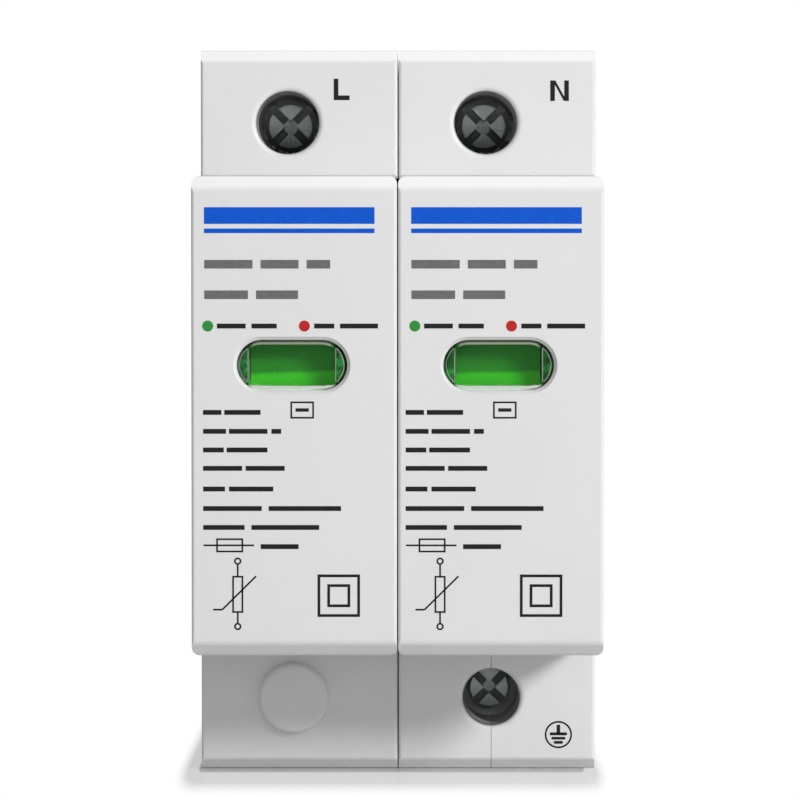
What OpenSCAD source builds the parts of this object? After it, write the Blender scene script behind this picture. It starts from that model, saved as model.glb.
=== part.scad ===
// Two-pole pluggable surge arrester for a 35 mm top-hat rail.
// The origin is on the rail's centre line, at the front of its flanges, midway between the poles.
// +X runs along the rail to the right, +Z is up and the front faces -Y.

/* [Base] */
// Width that one pole takes on the rail
pole_pitch = 18; // [17.6:0.1:20]
// Gap between the two base housings
pole_gap = 0.1; // [0.1:0.05:0.3]
// Height of the base
base_h = 65.6; // [64.6:0.2:70]
// Depth of the shoulders in front of the rail
shoulder_d = 44; // [42:0.5:48]
// Depth of the feet behind the front of the rail
foot_d = 5; // [4.8:0.1:6]
// Height of the recess for the plug-in modules
recess_h = 42.3; // [41.8:0.1:43]
// Depth of the recess floor in front of the rail
floor_d = 13; // [12.6:0.1:14]
// Outer walls of the base
base_wall = 1.5; // [1.2:0.1:1.7]
// Side walls and cover plates of the base
side_wall = 1.4; // [1.2:0.1:1.6]
// Walls between the towers and the recess
tower_wall = 1.2; // [1:0.1:1.3]
// Floor wall and rear wall of the base
floor_wall = 1.6; // [1.4:0.1:1.8]
// Chamfer of the upper shoulder's top edge
top_chamfer = 1.1; // [0.6:0.1:1.3]
// Chamfer of the lower shoulder's bottom edge
bottom_chamfer = 1; // [0.6:0.1:1.3]
// Rounding where these chamfers end
chamfer_r = 0.5; // [0.2:0.05:0.6]
// Rounding of the upright front edges
side_edge_r = 0.3; // [0.1:0.05:0.5]

/* [Rail clip] */
// Height of the rail that the clip holds
rail_h = 35; // [34.6:0.1:35.4]
// Thickness of the rail's flanges
rail_t = 1; // [0.8:0.1:1.3]
// Height by which the hook and the latch overlap the flanges
grip_h = 1.8; // [1.4:0.1:2.2]
// Width of the sliding latch
latch_w = 11; // [9:0.5:12]
// Thickness of the sliding latch
latch_t = 2.5; // [2.2:0.1:2.6]
// Outer diameter of the latch spring
latch_spring_d = 2.2; // [1.8:0.1:2.4]

/* [Terminals] */
// Distance of the screws from the top and bottom of the base
screw_inset = 6.6; // [6.4:0.1:7]
// Offset of the line screws from the middle of their pole
line_screw_x = -1.05; // [-1.5:0.05:0]
// Offset of the earth screw from the middle of its pole
earth_screw_x = -0.5; // [-1:0.05:0]
// Diameter of the driver holes of the line terminals
line_hole_d = 5.66; // [5.2:0.02:6]
// Diameter of the driver holes in the lower shoulder
earth_hole_d = 5.15; // [4.8:0.05:5.8]
// Rounding of the driver holes' edges
hole_round = 0.5; // [0.3:0.05:0.7]
// Diameter of the wire entries
wire_hole_d = 6.2; // [5:0.1:6.4]
// Thread diameter of the line screws
line_thread_d = 4; // [3.5:0.1:4.2]
// Thread diameter of the earth screw
earth_thread_d = 3.5; // [3:0.1:3.8]
// Head diameter of the line screws
line_head_d = 5.1; // [4.6:0.1:5.2]
// Head diameter of the earth screw
earth_head_d = 3.9; // [3.8:0.1:4.4]
// Height of the screw heads
head_h = 2.5; // [2:0.1:2.8]
// Depth of the screw heads below the shoulder
head_depth = 9; // [8:0.2:9.6]
// Travel of the clamping cages
cage_travel = 4.9; // [4.5:0.1:5]
// Width of the clamping cages
cage_w = 9; // [8.8:0.1:9.6]
// Side walls of the clamping cages
cage_side_t = 1.2; // [0.9:0.1:1.3]
// Threaded front wall of the clamping cages
cage_nut_t = 2.5; // [2:0.1:2.6]
// Rear wall of the clamping cages
cage_rear_t = 1.5; // [1.2:0.1:1.6]
// Space for the wire behind the contact bar
wire_space = 6.5; // [6.4:0.1:6.6]
// Diameter of the blank plug's head
plug_d = 6.4; // [6.1:0.1:7.5]
// Height of the blank plug's head above the shoulder
plug_h = 1; // [0.6:0.1:1.6]

/* [Contacts] */
// Thickness of the contact strips
strip_t = 1.4; // [1:0.1:1.5]
// Width of the contact strips
strip_w = 6.2; // [5:0.1:6.3]
// Thickness of the plug blades
blade_t = 1; // [0.8:0.1:1.2]
// Width of the plug blades
blade_w = 7; // [6:0.2:7.4]
// Height of the plug blades above and below the rail's centre line
blade_z = 15; // [14.6:0.1:15.2]
// Distance of the blade tips from the rail's front
blade_tip_d = 5; // [4.6:0.1:6]
// Thickness of the spring clips on the contacts
clip_t = 0.5; // [0.3:0.05:0.6]
// Shank diameter of the rivets that join the poles
rivet_d = 3; // [2.4:0.1:3.2]
// Head diameter of the rivets
rivet_head_d = 5; // [4.4:0.1:5.2]

/* [Plug-in modules] */
// Gap between the two modules
module_gap = 0.1; // [0.1:0.05:0.4]
// Depth of the module fronts in front of the rail
front_d = 60; // [59:0.5:64]
// Clearance of a module above and below in the recess
module_clear = 0.2; // [0.1:0.05:0.3]
// Clearance behind a module
rear_clear = 0.3; // [0.2:0.05:0.5]
// Side walls of the module case
module_side_wall = 1.35; // [1.1:0.05:1.4]
// Top and bottom walls of the module case
module_top_wall = 1.45; // [1.2:0.05:1.6]
// Front wall of the module case
module_front_wall = 1.8; // [1.5:0.1:2]
// Chamfer of the front's top and bottom edges
front_chamfer = 1.2; // [0.6:0.05:1.4]
// Rounding where this chamfer ends
front_round = 0.8; // [0.3:0.05:1]
// Rounding of the front's corners
front_corner_r = 0.7; // [0.3:0.05:1.2]
// Number of grip grooves on the top and on the bottom of a module
grip_grooves = 5; // [3:1:6]
// Length of the window
window_w = 9.65; // [8.6:0.05:10]
// Height of the window
window_h = 4.4; // [4:0.1:4.8]
// Height of the window above the rail's centre line
window_z = 4.47; // [3.8:0.01:5]
// Offset of the window from the middle of the module
window_x = -0.2; // [-0.4:0.05:0.1]

/* [Disconnector] */
// Distance of the lever's pivot from the rail's front
pivot_d = 37; // [36.5:0.1:37.5]
// Diameter of the pivot pin
pin_d = 1.8; // [1.5:0.1:2]
// Angle that the lever swings when it trips
trip_angle = 15.5; // [14.5:0.5:16]
// Width of the status flag
flag_w = 7.4; // [6.8:0.1:7.4]
// Length of the lever's lower arm below the pivot
arm_l = 17.4; // [16.6:0.1:18]
// Side of the square varistor block
varistor_side = 34; // [32:0.5:34.5]
// Thickness of the varistor block
varistor_t = 5.3; // [4.8:0.1:5.3]
// Diameter of the flexible lead
lead_d = 1.4; // [1:0.1:1.5]

/* [Hidden] */
$fn = 48;

// Overrun of the cuts
cut = 1;
// Steps in a rounded edge's quarter
edge_steps = 5;
// Clearance of a seated or guided piece
seat_gap = 0.05;
// Clearance of a sliding piece
slide_gap = 0.15;
// Clearance of a swinging piece
swing_gap = 0.5;

// Places of the poles
left = -1;
right = 1;
function pole_x(side) = side * pole_pitch / 2;

// Base, in the pole's own X
half_w = (pole_pitch - pole_gap) / 2;
cavity_x = half_w - side_wall;
half_h = base_h / 2;
recess_z = recess_h / 2;
shoulder_y = -shoulder_d;
floor_y = -floor_d;
mouth_chamfer = 0.3;
split_gap = 0.04;
tower_z0 = recess_z + tower_wall;
tower_z1 = half_h - base_wall;
chamber_y0 = floor_y + floor_wall;
chamber_y1 = -floor_wall;
foot_y1 = foot_d;

// Rail notch, hook and latch
notch_gap = 0.2;
notch_z = rail_h / 2 + notch_gap;
hook_y0 = rail_t + notch_gap;
hook_slope = 0.8;
hook_y1 = foot_y1 - hook_slope;
hook_z = rail_h / 2 - grip_h;
latch_y0 = rail_t + notch_gap + slide_gap / 3;
latch_y1 = latch_y0 + latch_t;
latch_lift = 0.4;
latch_z0 = -half_h + latch_lift;
latch_z1 = -hook_z;
latch_bar_h = 2.6;
latch_slot_w = 4;
latch_slot_h = 1;
latch_window_w = latch_spring_d + 4 * slide_gap;
spring_seat_h = 3.2;
spring_z1 = -notch_z - spring_seat_h;
spring_l = 5.6;
peg_h = 1.4;
peg_z1 = spring_z1 - spring_l;
latch_spring_wire = 0.4;
latch_spring_turns = 5;
foot_core_z = notch_z + floor_wall;
latch_guide_w = 2;
latch_view_w = latch_w - 2 * latch_guide_w;

// Terminals, along Y and Z
screw_z = half_h - screw_inset;
head_y0 = shoulder_y + head_depth;
head_y1 = head_y0 + head_h;
cage_rest_gap = 0.5;
cage_stop_gap = 0.3;
bar_y0 = head_y1 + cage_stop_gap + cage_travel + cage_nut_t + cage_rest_gap;
bar_y1 = bar_y0 + strip_t;
cage_y0 = bar_y0 - cage_rest_gap - cage_nut_t;
cage_y2 = bar_y1 + wire_space;
cage_y1 = cage_y2 + cage_rear_t;
wire_y = (bar_y1 + cage_y2) / 2;
strip_z0 = tower_z0 + seat_gap;
strip_z1 = strip_z0 + strip_t;
cage_inner = 2.25;
cage_z0 = screw_z - cage_inner;
cage_h = 6.1;
cage_z1 = cage_z0 + cage_h;
bar_z1 = cage_z1;
cage_corner_r = 0.8;
thread_gap = 0.08;
tip_gap = 0.05;
tube_wall = 1.35;
tube_gap = 0.6;
tube_y1 = head_y0 - tube_gap;
head_dome = 0.45;
head_edge_r = 0.35;
recess_w = 0.75;
recess_top_share = 1.3;
recess_tip_share = 0.25;
recess_depth_share = 0.6;
stop_rib_t = 1.2;
wire_chamfer = 0.6;
plug_edge_r = 0.45;
plug_stem_l = 7;
plug_stem_wall = 0.9;
plug_slot_w = 0.8;

// Contacts in the base
contact_gap = 0.05;
leaf_t = 1;
leaf_margin = 0.5;
leaf_x0 = blade_t / 2 + contact_gap;
leaf_x1 = leaf_x0 + leaf_t;
leaf_z0 = blade_z - blade_w / 2 - leaf_margin;
leaf_z1 = blade_z + blade_w / 2 + leaf_margin;
plate_y1 = chamber_y1 - seat_gap;
plate_y0 = plate_y1 - strip_t;
leaf_y0 = chamber_y0 + notch_gap * 2;
leaf_flare_l = 1.3;
leaf_flare = 0.5;
bend_r = 1;
bend_steps = 4;
link_t = 1.2;
link_margin = 0.25;
link_z0 = leaf_z1 + link_margin;
link_z1 = strip_z0 - link_margin;
link_y1 = plate_y0 - seat_gap;
link_y0 = link_y1 - link_t;
link_reach = 3;
clip_l = 4;
clip_arm_share = 0.7;
clip_y0 = leaf_y0 + leaf_flare_l + slide_gap;
slot_gap = 0.4;
rest_rib_t = 1.2;
rest_rib_l = 3;

// Rivets through both poles
rivet_inset = 5.5;
rivet_outer_y = -8;
rivet_middle_y = -6.8;
rivet_places = [
    [rivet_outer_y, half_h - rivet_inset],
    [rivet_middle_y, 0],
    [rivet_outer_y, rivet_inset - half_h]
];
rivet_boss_wall = 1.5;
rivet_boss_d = rivet_d + 2 * rivet_boss_wall;
rivet_bore_d = 1.8;
rivet_head_t = 0.6;
rivet_sink = 0.9;

// Module case
module_x = (pole_pitch - module_gap) / 2;
module_z = recess_z - module_clear;
front_y = -front_d;
module_y1 = floor_y - rear_clear;
inner_x = module_x - module_side_wall;
inner_z = module_z - module_top_wall;
inner_y = front_y + module_front_wall;
groove_w = 1;
groove_d = 0.4;
groove_pitch = 2;
groove_margin = 2.4;
groove_side = 2;

// Window and lens
window_chamfer = 0.28;
lens_recess = 0.3;
lens_bevel = 0.4;
lens_gap = 0.04;
flange_t = 0.8;
flange_w = 0.8;
leg_w = 1;
leg_l = 0.3;

// Inner wall of the module and its rear plate
rear_plate_t = 1.5;
plate_y = module_y1 - rear_plate_t;
web_t = 1.1;
web_front_gap = 1.2;
electrode_t = 0.5;
layer_gap = 0.1;
earth_plate_x0 = seat_gap * 2 - inner_x;
varistor_x0 = earth_plate_x0 + electrode_t;
varistor_x1 = varistor_x0 + varistor_t;
line_plate_x1 = varistor_x1 + electrode_t;
web_x0 = line_plate_x1 + layer_gap;
web_x1 = web_x0 + web_t;
varistor_gap = 3.2;
varistor_y1 = plate_y - varistor_gap;
varistor_y0 = varistor_y1 - varistor_side;
varistor_r = 3;
plate_inset = 2;
blade_neck = 3.6;
cross_y1 = plate_y - seat_gap * 4;
cross_t = 0.9;

// Disconnector, with the pivot at the window's height
pivot_y = -pivot_d;
pivot_z = window_z;
flag_t = 0.45;
flag_r = pivot_y - (inner_y + flange_t + swing_gap);
flag_back_r = flag_r - flag_t;
carrier_t = 0.6;
carrier_r = flag_back_r - seat_gap / 2;
half_view = trip_angle / 2;
hub_wall = 1.2;
hub_d = pin_d + 2 * hub_wall;
hub_boss_l = 1.1;
hub_x0 = web_x1 + hub_boss_l;
hub_end_gap = 1.5;
hub_x1 = inner_x - hub_end_gap;
arm_inset = 0.3;
arm_x0 = hub_x0 + arm_inset;
arm_w = 3;
arm_x1 = arm_x0 + arm_w;
arm_t = 2.4;
fork_t = 1.5;
arm_y0 = pivot_y - electrode_t * 4 / 5;
arm_y1 = arm_y0 + arm_t;
pin_gap = 0.05;
pin_head_rim = 0.6;
pin_head_d = pin_d + 2 * pin_head_rim;
pin_head_t = 0.5;
contact_t = 0.6;
contact_y0 = arm_y0 - contact_t - seat_gap / 2;
contact_y1 = contact_y0 + contact_t;
contact_z1 = pivot_z - hub_d / 2 - 2 * swing_gap / 3;
tab_t = 0.8;
tab_h = 5;
solder_t = 0.3;
tab_y1 = contact_y0 - solder_t - contact_gap;
tab_y0 = tab_y1 - tab_t;
tab_z0 = pivot_z - arm_l;
ear_h = 1.6;
ear_w = 2.2;
solder_d = 3;
post_d = 1.1;
ear_plate_t = 0.6;
hook_r = 0.9;
hook_half_turn = 120;
spring_z = pivot_z - arm_l * 3 / 5;
post_y = arm_y1 + hook_r + 2 * swing_gap;
anchor_gap = 5;
anchor_y = plate_y - anchor_gap;
spring_x = (arm_x0 + arm_x1) / 2;
trip_spring_d = 2.8;
trip_spring_wire = 0.36;
trip_spring_turns = 12;
spring_sides = 6;
turn_steps = 12;
lead_sides = 8;

// Colours
white = [0.9, 0.9, 0.91];
grey_white = [0.82, 0.83, 0.84];
steel = [0.45, 0.46, 0.48];
bright_steel = [0.72, 0.73, 0.75];
copper = [0.8, 0.48, 0.3];
brass = [0.8, 0.68, 0.38];

// Points of an arc, from one angle to the other
function arc(centre, r, from, to, steps = edge_steps) =
    [for (i = [0 : steps]) let (a = from + (to - from) * i / steps) centre + r * [cos(a), sin(a)]];

// Points of an upper edge's chamfer with round ends, from the level face to the front
function upper_chamfer(y, z, size, r) =
    let (reach = size + r * tan(45 / 2))
    concat(arc([y + reach, z - r], r, 90, 135), arc([y + r, z - reach], r, 135, 180));

// Points of a lower edge's chamfer with round ends, from the front to the level face
function lower_chamfer(y, z, size, r) =
    let (reach = size + r * tan(45 / 2))
    concat(arc([y + r, z + reach], r, 180, 225), arc([y + reach, z + r], r, 225, 270));

// A box from its limits
module block(x0, x1, y0, y1, z0, z1) {
    translate([x0, y0, z0]) cube([x1 - x0, y1 - y0, z1 - z0]);
}

// A flat outline in Y and Z, drawn out along X
module along_x(x0, x1) {
    translate([x0, 0, 0]) rotate([90, 0, 90]) linear_extrude(height = x1 - x0) children();
}

// A flat outline in X and Z, drawn out along Y
module along_y(y0, y1) {
    translate([0, y1, 0]) rotate([90, 0, 0]) linear_extrude(height = y1 - y0) children();
}

// A flat outline in X and Y, drawn out along Z
module along_z(z0, z1) {
    translate([0, 0, z0]) linear_extrude(height = z1 - z0) children();
}

// Round rods along each axis
module rod_x(y, z, d, x0, x1) {
    translate([x0, y, z]) rotate([0, 90, 0]) cylinder(d = d, h = x1 - x0);
}

module rod_y(x, z, d, y0, y1) {
    translate([x, y0, z]) rotate([-90, 0, 0]) cylinder(d = d, h = y1 - y0);
}

module rod_z(x, y, d, z0, z1) {
    translate([x, y, z0]) cylinder(d = d, h = z1 - z0);
}

// A rectangle with round corners, about the origin
module round_rect(w, h, r) {
    polygon(concat(
        arc([w / 2 - r, h / 2 - r], r, 0, 90),
        arc([r - w / 2, h / 2 - r], r, 90, 180),
        arc([r - w / 2, r - h / 2], r, 180, 270),
        arc([w / 2 - r, r - h / 2], r, 270, 360)));
}

// A rectangle with half-round ends, about the origin
module stadium(w, h) {
    square([w - h, h], center = true);
    for (end = [-1, 1]) translate([end * (w - h) / 2, 0]) circle(d = h);
}

// Turns the children upside down when they belong to the lower half
module in_half(half) {
    if (half < 0) mirror([0, 0, 1]) children();
    else children();
}

// A tube of round section through points, which never run along the reference direction
function unit(v) = v / norm(v);
function heading(p, i) = unit(p[min(i + 1, len(p) - 1)] - p[max(i - 1, 0)]);
function ring(p, i, r, sides, ref) =
    let (t = heading(p, i), u = unit(cross(ref, t)), v = cross(t, u))
    [for (k = [0 : sides - 1]) p[i] + r * (cos(360 * k / sides) * u + sin(360 * k / sides) * v)];
module tube(p, d, sides, ref) {
    rings = len(p);
    points = [for (i = [0 : rings - 1]) each ring(p, i, d / 2, sides, ref)];
    walls = [
        for (i = [0 : rings - 2], k = [0 : sides - 1])
            let (a = i * sides + k, b = i * sides + (k + 1) % sides)
            each [[a, a + sides, b + sides], [a, b + sides, b]]
    ];
    first = [[for (k = [0 : sides - 1]) k]];
    last = [[for (k = [sides - 1 : -1 : 0]) (rings - 1) * sides + k]];
    polyhedron(points, concat(walls, first, last));
}

// Points of a helix along Z, from the origin up
function helix(r, length, turns) =
    let (steps = turns * turn_steps)
    [for (i = [0 : steps]) let (a = 360 * i / turn_steps) [r * cos(a), r * sin(a), length * i / steps]];

// Side outline of a pole's base housing
module base_outline() {
    polygon(concat(
        [[foot_y1, half_h]],
        upper_chamfer(shoulder_y, half_h, top_chamfer, chamfer_r),
        [[shoulder_y, recess_z + mouth_chamfer], [shoulder_y + mouth_chamfer, recess_z]],
        [[floor_y, recess_z], [floor_y, -recess_z]],
        [[shoulder_y + mouth_chamfer, -recess_z], [shoulder_y, -recess_z - mouth_chamfer]],
        lower_chamfer(shoulder_y, -half_h, bottom_chamfer, chamfer_r),
        [[foot_y1, -half_h], [foot_y1, -notch_z], [0, -notch_z], [0, notch_z], [hook_y0, notch_z]],
        [[hook_y0, hook_z], [hook_y1, hook_z], [foot_y1, notch_z - notch_gap]]));
}

// Hollow of a pole's base housing, seen from the side
module cavity_outline() {
    polygon([
        [shoulder_y + base_wall, tower_z1], [shoulder_y + base_wall, tower_z0],
        [chamber_y0, tower_z0], [chamber_y0, -tower_z0],
        [shoulder_y + base_wall, -tower_z0], [shoulder_y + base_wall, -tower_z1],
        [chamber_y1, -tower_z1], [chamber_y1, foot_core_z],
        [foot_y1 - floor_wall, foot_core_z], [foot_y1 - floor_wall, tower_z1]
    ]);
}

// Plan outline of a pole, with rounded upright front edges
module plan_outline(x, y0, y1) {
    polygon(concat(
        [[x, y1], [-x, y1]],
        arc([side_edge_r - x, y0 + side_edge_r], side_edge_r, 180, 270),
        arc([x - side_edge_r, y0 + side_edge_r], side_edge_r, 270, 360)));
}

// Driver hole with its tube and rounded edge: the solid part, then the cut
module driver_tube(x, hole_d) {
    rod_y(x, screw_z, hole_d + 2 * tube_wall, shoulder_y + side_edge_r, tube_y1);
}

module driver_bore(x, hole_d) {
    rod_y(x, screw_z, hole_d, shoulder_y - cut, tube_y1 + cut);
    translate([x, shoulder_y, screw_z]) rotate([-90, 0, 0]) rotate_extrude() polygon(concat(
        [[0, hole_round], [0, 0]],
        arc([hole_d / 2 + hole_round, hole_round], hole_round, 270, 180)));
}

// Wire entry through the top of a tower
module wire_bore(x) {
    rod_z(x, wire_y, wire_hole_d, tower_z1 - cut, half_h + cut);
    translate([x, wire_y, half_h - wire_chamfer])
        cylinder(d1 = wire_hole_d, d2 = wire_hole_d + 2 * wire_chamfer, h = wire_chamfer);
}

// Ribs of one tower: behind the cage, and where the contact plate ends
module tower_ribs() {
    block(-cavity_x - seat_gap, cavity_x, cage_y1 + cage_stop_gap,
        cage_y1 + cage_stop_gap + stop_rib_t, strip_z1 + slide_gap, tower_z1 + seat_gap);
    block(-cavity_x - seat_gap, strip_w / 2, chamber_y1 - rest_rib_l, chamber_y1 + seat_gap,
        leaf_z0 - seat_gap - rest_rib_t, leaf_z0 - seat_gap);
}

// One pole of the base with both its sides, before it is split
module pole_shell(side) {
    difference() {
        union() {
            difference() {
                intersection() {
                    along_x(-half_w, half_w) base_outline();
                    along_z(-half_h - cut, half_h + cut) plan_outline(half_w, shoulder_y, foot_y1);
                }
                along_x(-cavity_x, cavity_x) cavity_outline();
            }
            driver_tube(line_screw_x, line_hole_d);
            mirror([0, 0, 1]) driver_tube(earth_screw_x, earth_hole_d);
            tower_ribs();
            mirror([0, 0, 1]) tower_ribs();
            for (p = rivet_places)
                rod_x(p[0], p[1], rivet_boss_d, -cavity_x - seat_gap, cavity_x + seat_gap);
        }
        driver_bore(line_screw_x, line_hole_d);
        mirror([0, 0, 1]) driver_bore(earth_screw_x, earth_hole_d);
        wire_bore(line_screw_x);
        if (side == right) mirror([0, 0, 1]) wire_bore(earth_screw_x);
        for (half = [-1, 1]) in_half(half)
            block(-leaf_x0 - slot_gap, leaf_x0 + slot_gap, floor_y - cut, chamber_y0 + cut,
                leaf_z0 - slot_gap / 2, leaf_z1 + slot_gap / 2);
        latch_pocket();
        rivet_cuts(side);
        link_window(side);
    }
    latch_peg();
}

// Guide for the latch, open below, above and behind
module latch_pocket() {
    block(-latch_w / 2 - slide_gap, latch_w / 2 + slide_gap, latch_y0 - slide_gap, latch_y1 + slide_gap,
        -half_h - cut, cut - notch_z);
    block(-latch_view_w / 2, latch_view_w / 2, latch_y1, foot_y1 + cut, -half_h - cut, spring_z1 + peg_h);
}

// Fixed peg that the latch spring stands on
module latch_peg() {
    block(-latch_spring_d / 2, latch_spring_d / 2, latch_y0 - slide_gap - seat_gap, latch_y1,
        peg_z1 - peg_h, peg_z1);
}

// Rivet holes, with the heads sunk on the outside
module rivet_cuts(side) {
    for (p = rivet_places) {
        rod_x(p[0], p[1], rivet_d + 2 * seat_gap, -half_w - cut, half_w + cut);
        if (side == left)
            rod_x(p[0], p[1], rivet_head_d + 4 * seat_gap, -half_w - cut, rivet_sink - half_w);
        else
            rod_x(p[0], p[1], rivet_head_d + 4 * seat_gap, half_w - rivet_sink, half_w + cut);
    }
}

// Window for the earth link in the walls between the poles
module link_window(side) {
    x0 = side == left ? cavity_x - cut : -half_w - cut;
    block(x0, x0 + side_wall + 2 * cut, link_y0 - slide_gap, link_y1 + slide_gap,
        -link_z1 - slide_gap, slide_gap - link_z0);
}

// Space of the lower tower's right half, which belongs to the right pole's cover
module tower_half(gap) {
    block(earth_screw_x + gap, half_w + cut, shoulder_y - cut, cage_y1 + cage_stop_gap,
        -half_h - cut, -recess_z);
}

// Space of a pole's cover, which a seam keeps clear of the case in the lower tower
module cover_space(side, gap) {
    block(cavity_x, half_w + cut, shoulder_y - cut, foot_y1 + cut, -half_h - cut, half_h + cut);
    if (side == right) tower_half(gap);
}

module base_case(side) {
    color(white) translate([pole_x(side), 0, 0]) difference() {
        pole_shell(side);
        cover_space(side, -split_gap / 2);
    }
}

module base_cover(side) {
    color(grey_white) translate([pole_x(side), 0, 0]) intersection() {
        pole_shell(side);
        union() cover_space(side, split_gap / 2);
    }
}

module blank_plug() {
    stem_r = earth_hole_d / 2 - seat_gap;
    color(white) translate([pole_x(left) + earth_screw_x, shoulder_y, -screw_z]) rotate([90, 0, 0])
        difference() {
            rotate_extrude() polygon(concat(
                [[0, plug_h]],
                arc([plug_d / 2 - plug_edge_r, plug_h - plug_edge_r], plug_edge_r, 90, 0),
                [[plug_d / 2, 0]],
                arc([stem_r + hole_round, -hole_round], hole_round, 90, 180),
                [[stem_r, -plug_stem_l], [stem_r - plug_stem_wall, -plug_stem_l]],
                [[stem_r - plug_stem_wall, -hole_round], [0, -hole_round]]));
            for (turn = [0, 90]) rotate([0, 0, turn])
                block(-plug_slot_w / 2, plug_slot_w / 2, -plug_d, plug_d,
                    -plug_stem_l - cut, -2 * hole_round);
        }
}

// Tubular rivets, one solid each
module pole_rivets() {
    x1 = pole_x(right) + half_w - rivet_sink + rivet_head_t;
    color(bright_steel) for (p = rivet_places) difference() {
        union() {
            rod_x(p[0], p[1], rivet_d, -x1, x1);
            rod_x(p[0], p[1], rivet_head_d, -x1, rivet_head_t - x1);
            rod_x(p[0], p[1], rivet_head_d, x1 - rivet_head_t, x1);
        }
        rod_x(p[0], p[1], rivet_bore_d, -x1 - cut, x1 + cut);
    }
}

// Sliding latch, with a sloping nose, the spring's window and a slot for a driver
module rail_latch(side) {
    nose_y = latch_y0 + latch_t / 3;
    color(grey_white) translate([pole_x(side), 0, 0]) difference() {
        intersection() {
            block(-latch_w / 2, latch_w / 2, latch_y0, latch_y1, latch_z0, latch_z1);
            along_x(-latch_w, latch_w) polygon([
                [latch_y0 - cut, latch_z0 - cut], [latch_y1 + cut, latch_z0 - cut],
                [latch_y1 + cut, -notch_z], [latch_y1, -notch_z], [nose_y, latch_z1],
                [nose_y, latch_z1 + cut], [latch_y0 - cut, latch_z1 + cut]
            ]);
        }
        block(-latch_window_w / 2, latch_window_w / 2, latch_y0 - cut, latch_y1 + cut,
            latch_z0 + latch_bar_h, spring_z1);
        block(-latch_slot_w / 2, latch_slot_w / 2, latch_y0 - cut, latch_y1 + cut,
            latch_z0 + (latch_bar_h - latch_slot_h) / 2, latch_z0 + (latch_bar_h + latch_slot_h) / 2);
    }
}

module latch_spring(side) {
    r = (latch_spring_d - latch_spring_wire) / 2;
    length = spring_l - 2 * latch_spring_wire;
    color(bright_steel) translate([pole_x(side), (latch_y0 + latch_y1) / 2, peg_z1 + latch_spring_wire])
        tube(helix(r, length, latch_spring_turns), latch_spring_wire, spring_sides, [0, 0, 1]);
}

// A pair of contact leaves that grip the blade, flared at their mouth
module contact_leaves() {
    for (s = [-1, 1]) along_z(leaf_z0, leaf_z1) scale([s, 1]) polygon([
        [leaf_x0, plate_y0 + seat_gap], [leaf_x0, leaf_y0 + leaf_flare_l], [leaf_x0 + leaf_flare, leaf_y0],
        [leaf_x1 + leaf_flare, leaf_y0], [leaf_x1, leaf_y0 + leaf_flare_l], [leaf_x1, plate_y0 + seat_gap]
    ]);
}

// Bent strip from the terminal's bar, down the tower and behind the leaves
module terminal_strip(x) {
    along_x(x - strip_w / 2, x + strip_w / 2) polygon(concat(
        [[bar_y0, bar_z1], [bar_y1, bar_z1], [bar_y1, strip_z1]],
        arc([plate_y1 - bend_r, strip_z1 - bend_r], bend_r, 90, 0, bend_steps),
        [[plate_y1, leaf_z0], [plate_y0, leaf_z0], [plate_y0, strip_z0]],
        arc([bar_y0 + bend_r, strip_z0 + bend_r], bend_r, 270, 180, bend_steps)));
}

module line_contact(side) {
    color(copper) translate([pole_x(side), 0, 0]) {
        terminal_strip(line_screw_x);
        contact_leaves();
    }
}

module earth_contact(side) {
    color(copper) translate([pole_x(side), 0, 0]) mirror([0, 0, 1]) {
        if (side == right) terminal_strip(earth_screw_x);
        else block(-strip_w / 2, strip_w / 2, plate_y0, plate_y1, leaf_z0, link_z1);
        contact_leaves();
    }
}

// Flat bar that joins the earth contacts of both poles
module earth_link() {
    reach = pole_pitch / 2 + link_reach;
    color(copper) block(-reach, reach, link_y0, link_y1, -link_z1, -link_z0);
}

// Steel clips over the ends of the leaves
module contact_clips() {
    outer_x = leaf_x1 + seat_gap + clip_t;
    arm = (leaf_z1 - leaf_z0) * clip_arm_share;
    color(bright_steel) for (side = [left, right], half = [-1, 1])
        translate([pole_x(side), 0, 0]) in_half(half) difference() {
            block(-outer_x, outer_x, clip_y0, clip_y0 + clip_l, leaf_z1 - arm, leaf_z1 + seat_gap + clip_t);
            block(clip_t - outer_x, outer_x - clip_t, clip_y0 - cut, clip_y0 + clip_l + cut,
                leaf_z1 - arm - cut, leaf_z1 + seat_gap);
        }
}

// Clamping cage: a frame that the wire goes through along Z, threaded in front
module cage(side, half, x, thread_d) {
    color(bright_steel) translate([pole_x(side) + x, 0, 0]) in_half(half) difference() {
        translate([0, (cage_y0 + cage_y1) / 2, 0])
            along_z(cage_z0, cage_z1) round_rect(cage_w, cage_y1 - cage_y0, cage_corner_r);
        block(cage_side_t - cage_w / 2, cage_w / 2 - cage_side_t, cage_y0 + cage_nut_t, cage_y2,
            cage_z0 - cut, cage_z1 + cut);
        rod_y(0, screw_z, thread_d + 2 * thread_gap, cage_y0 - cut, cage_y0 + cage_nut_t + cut);
    }
}

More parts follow.
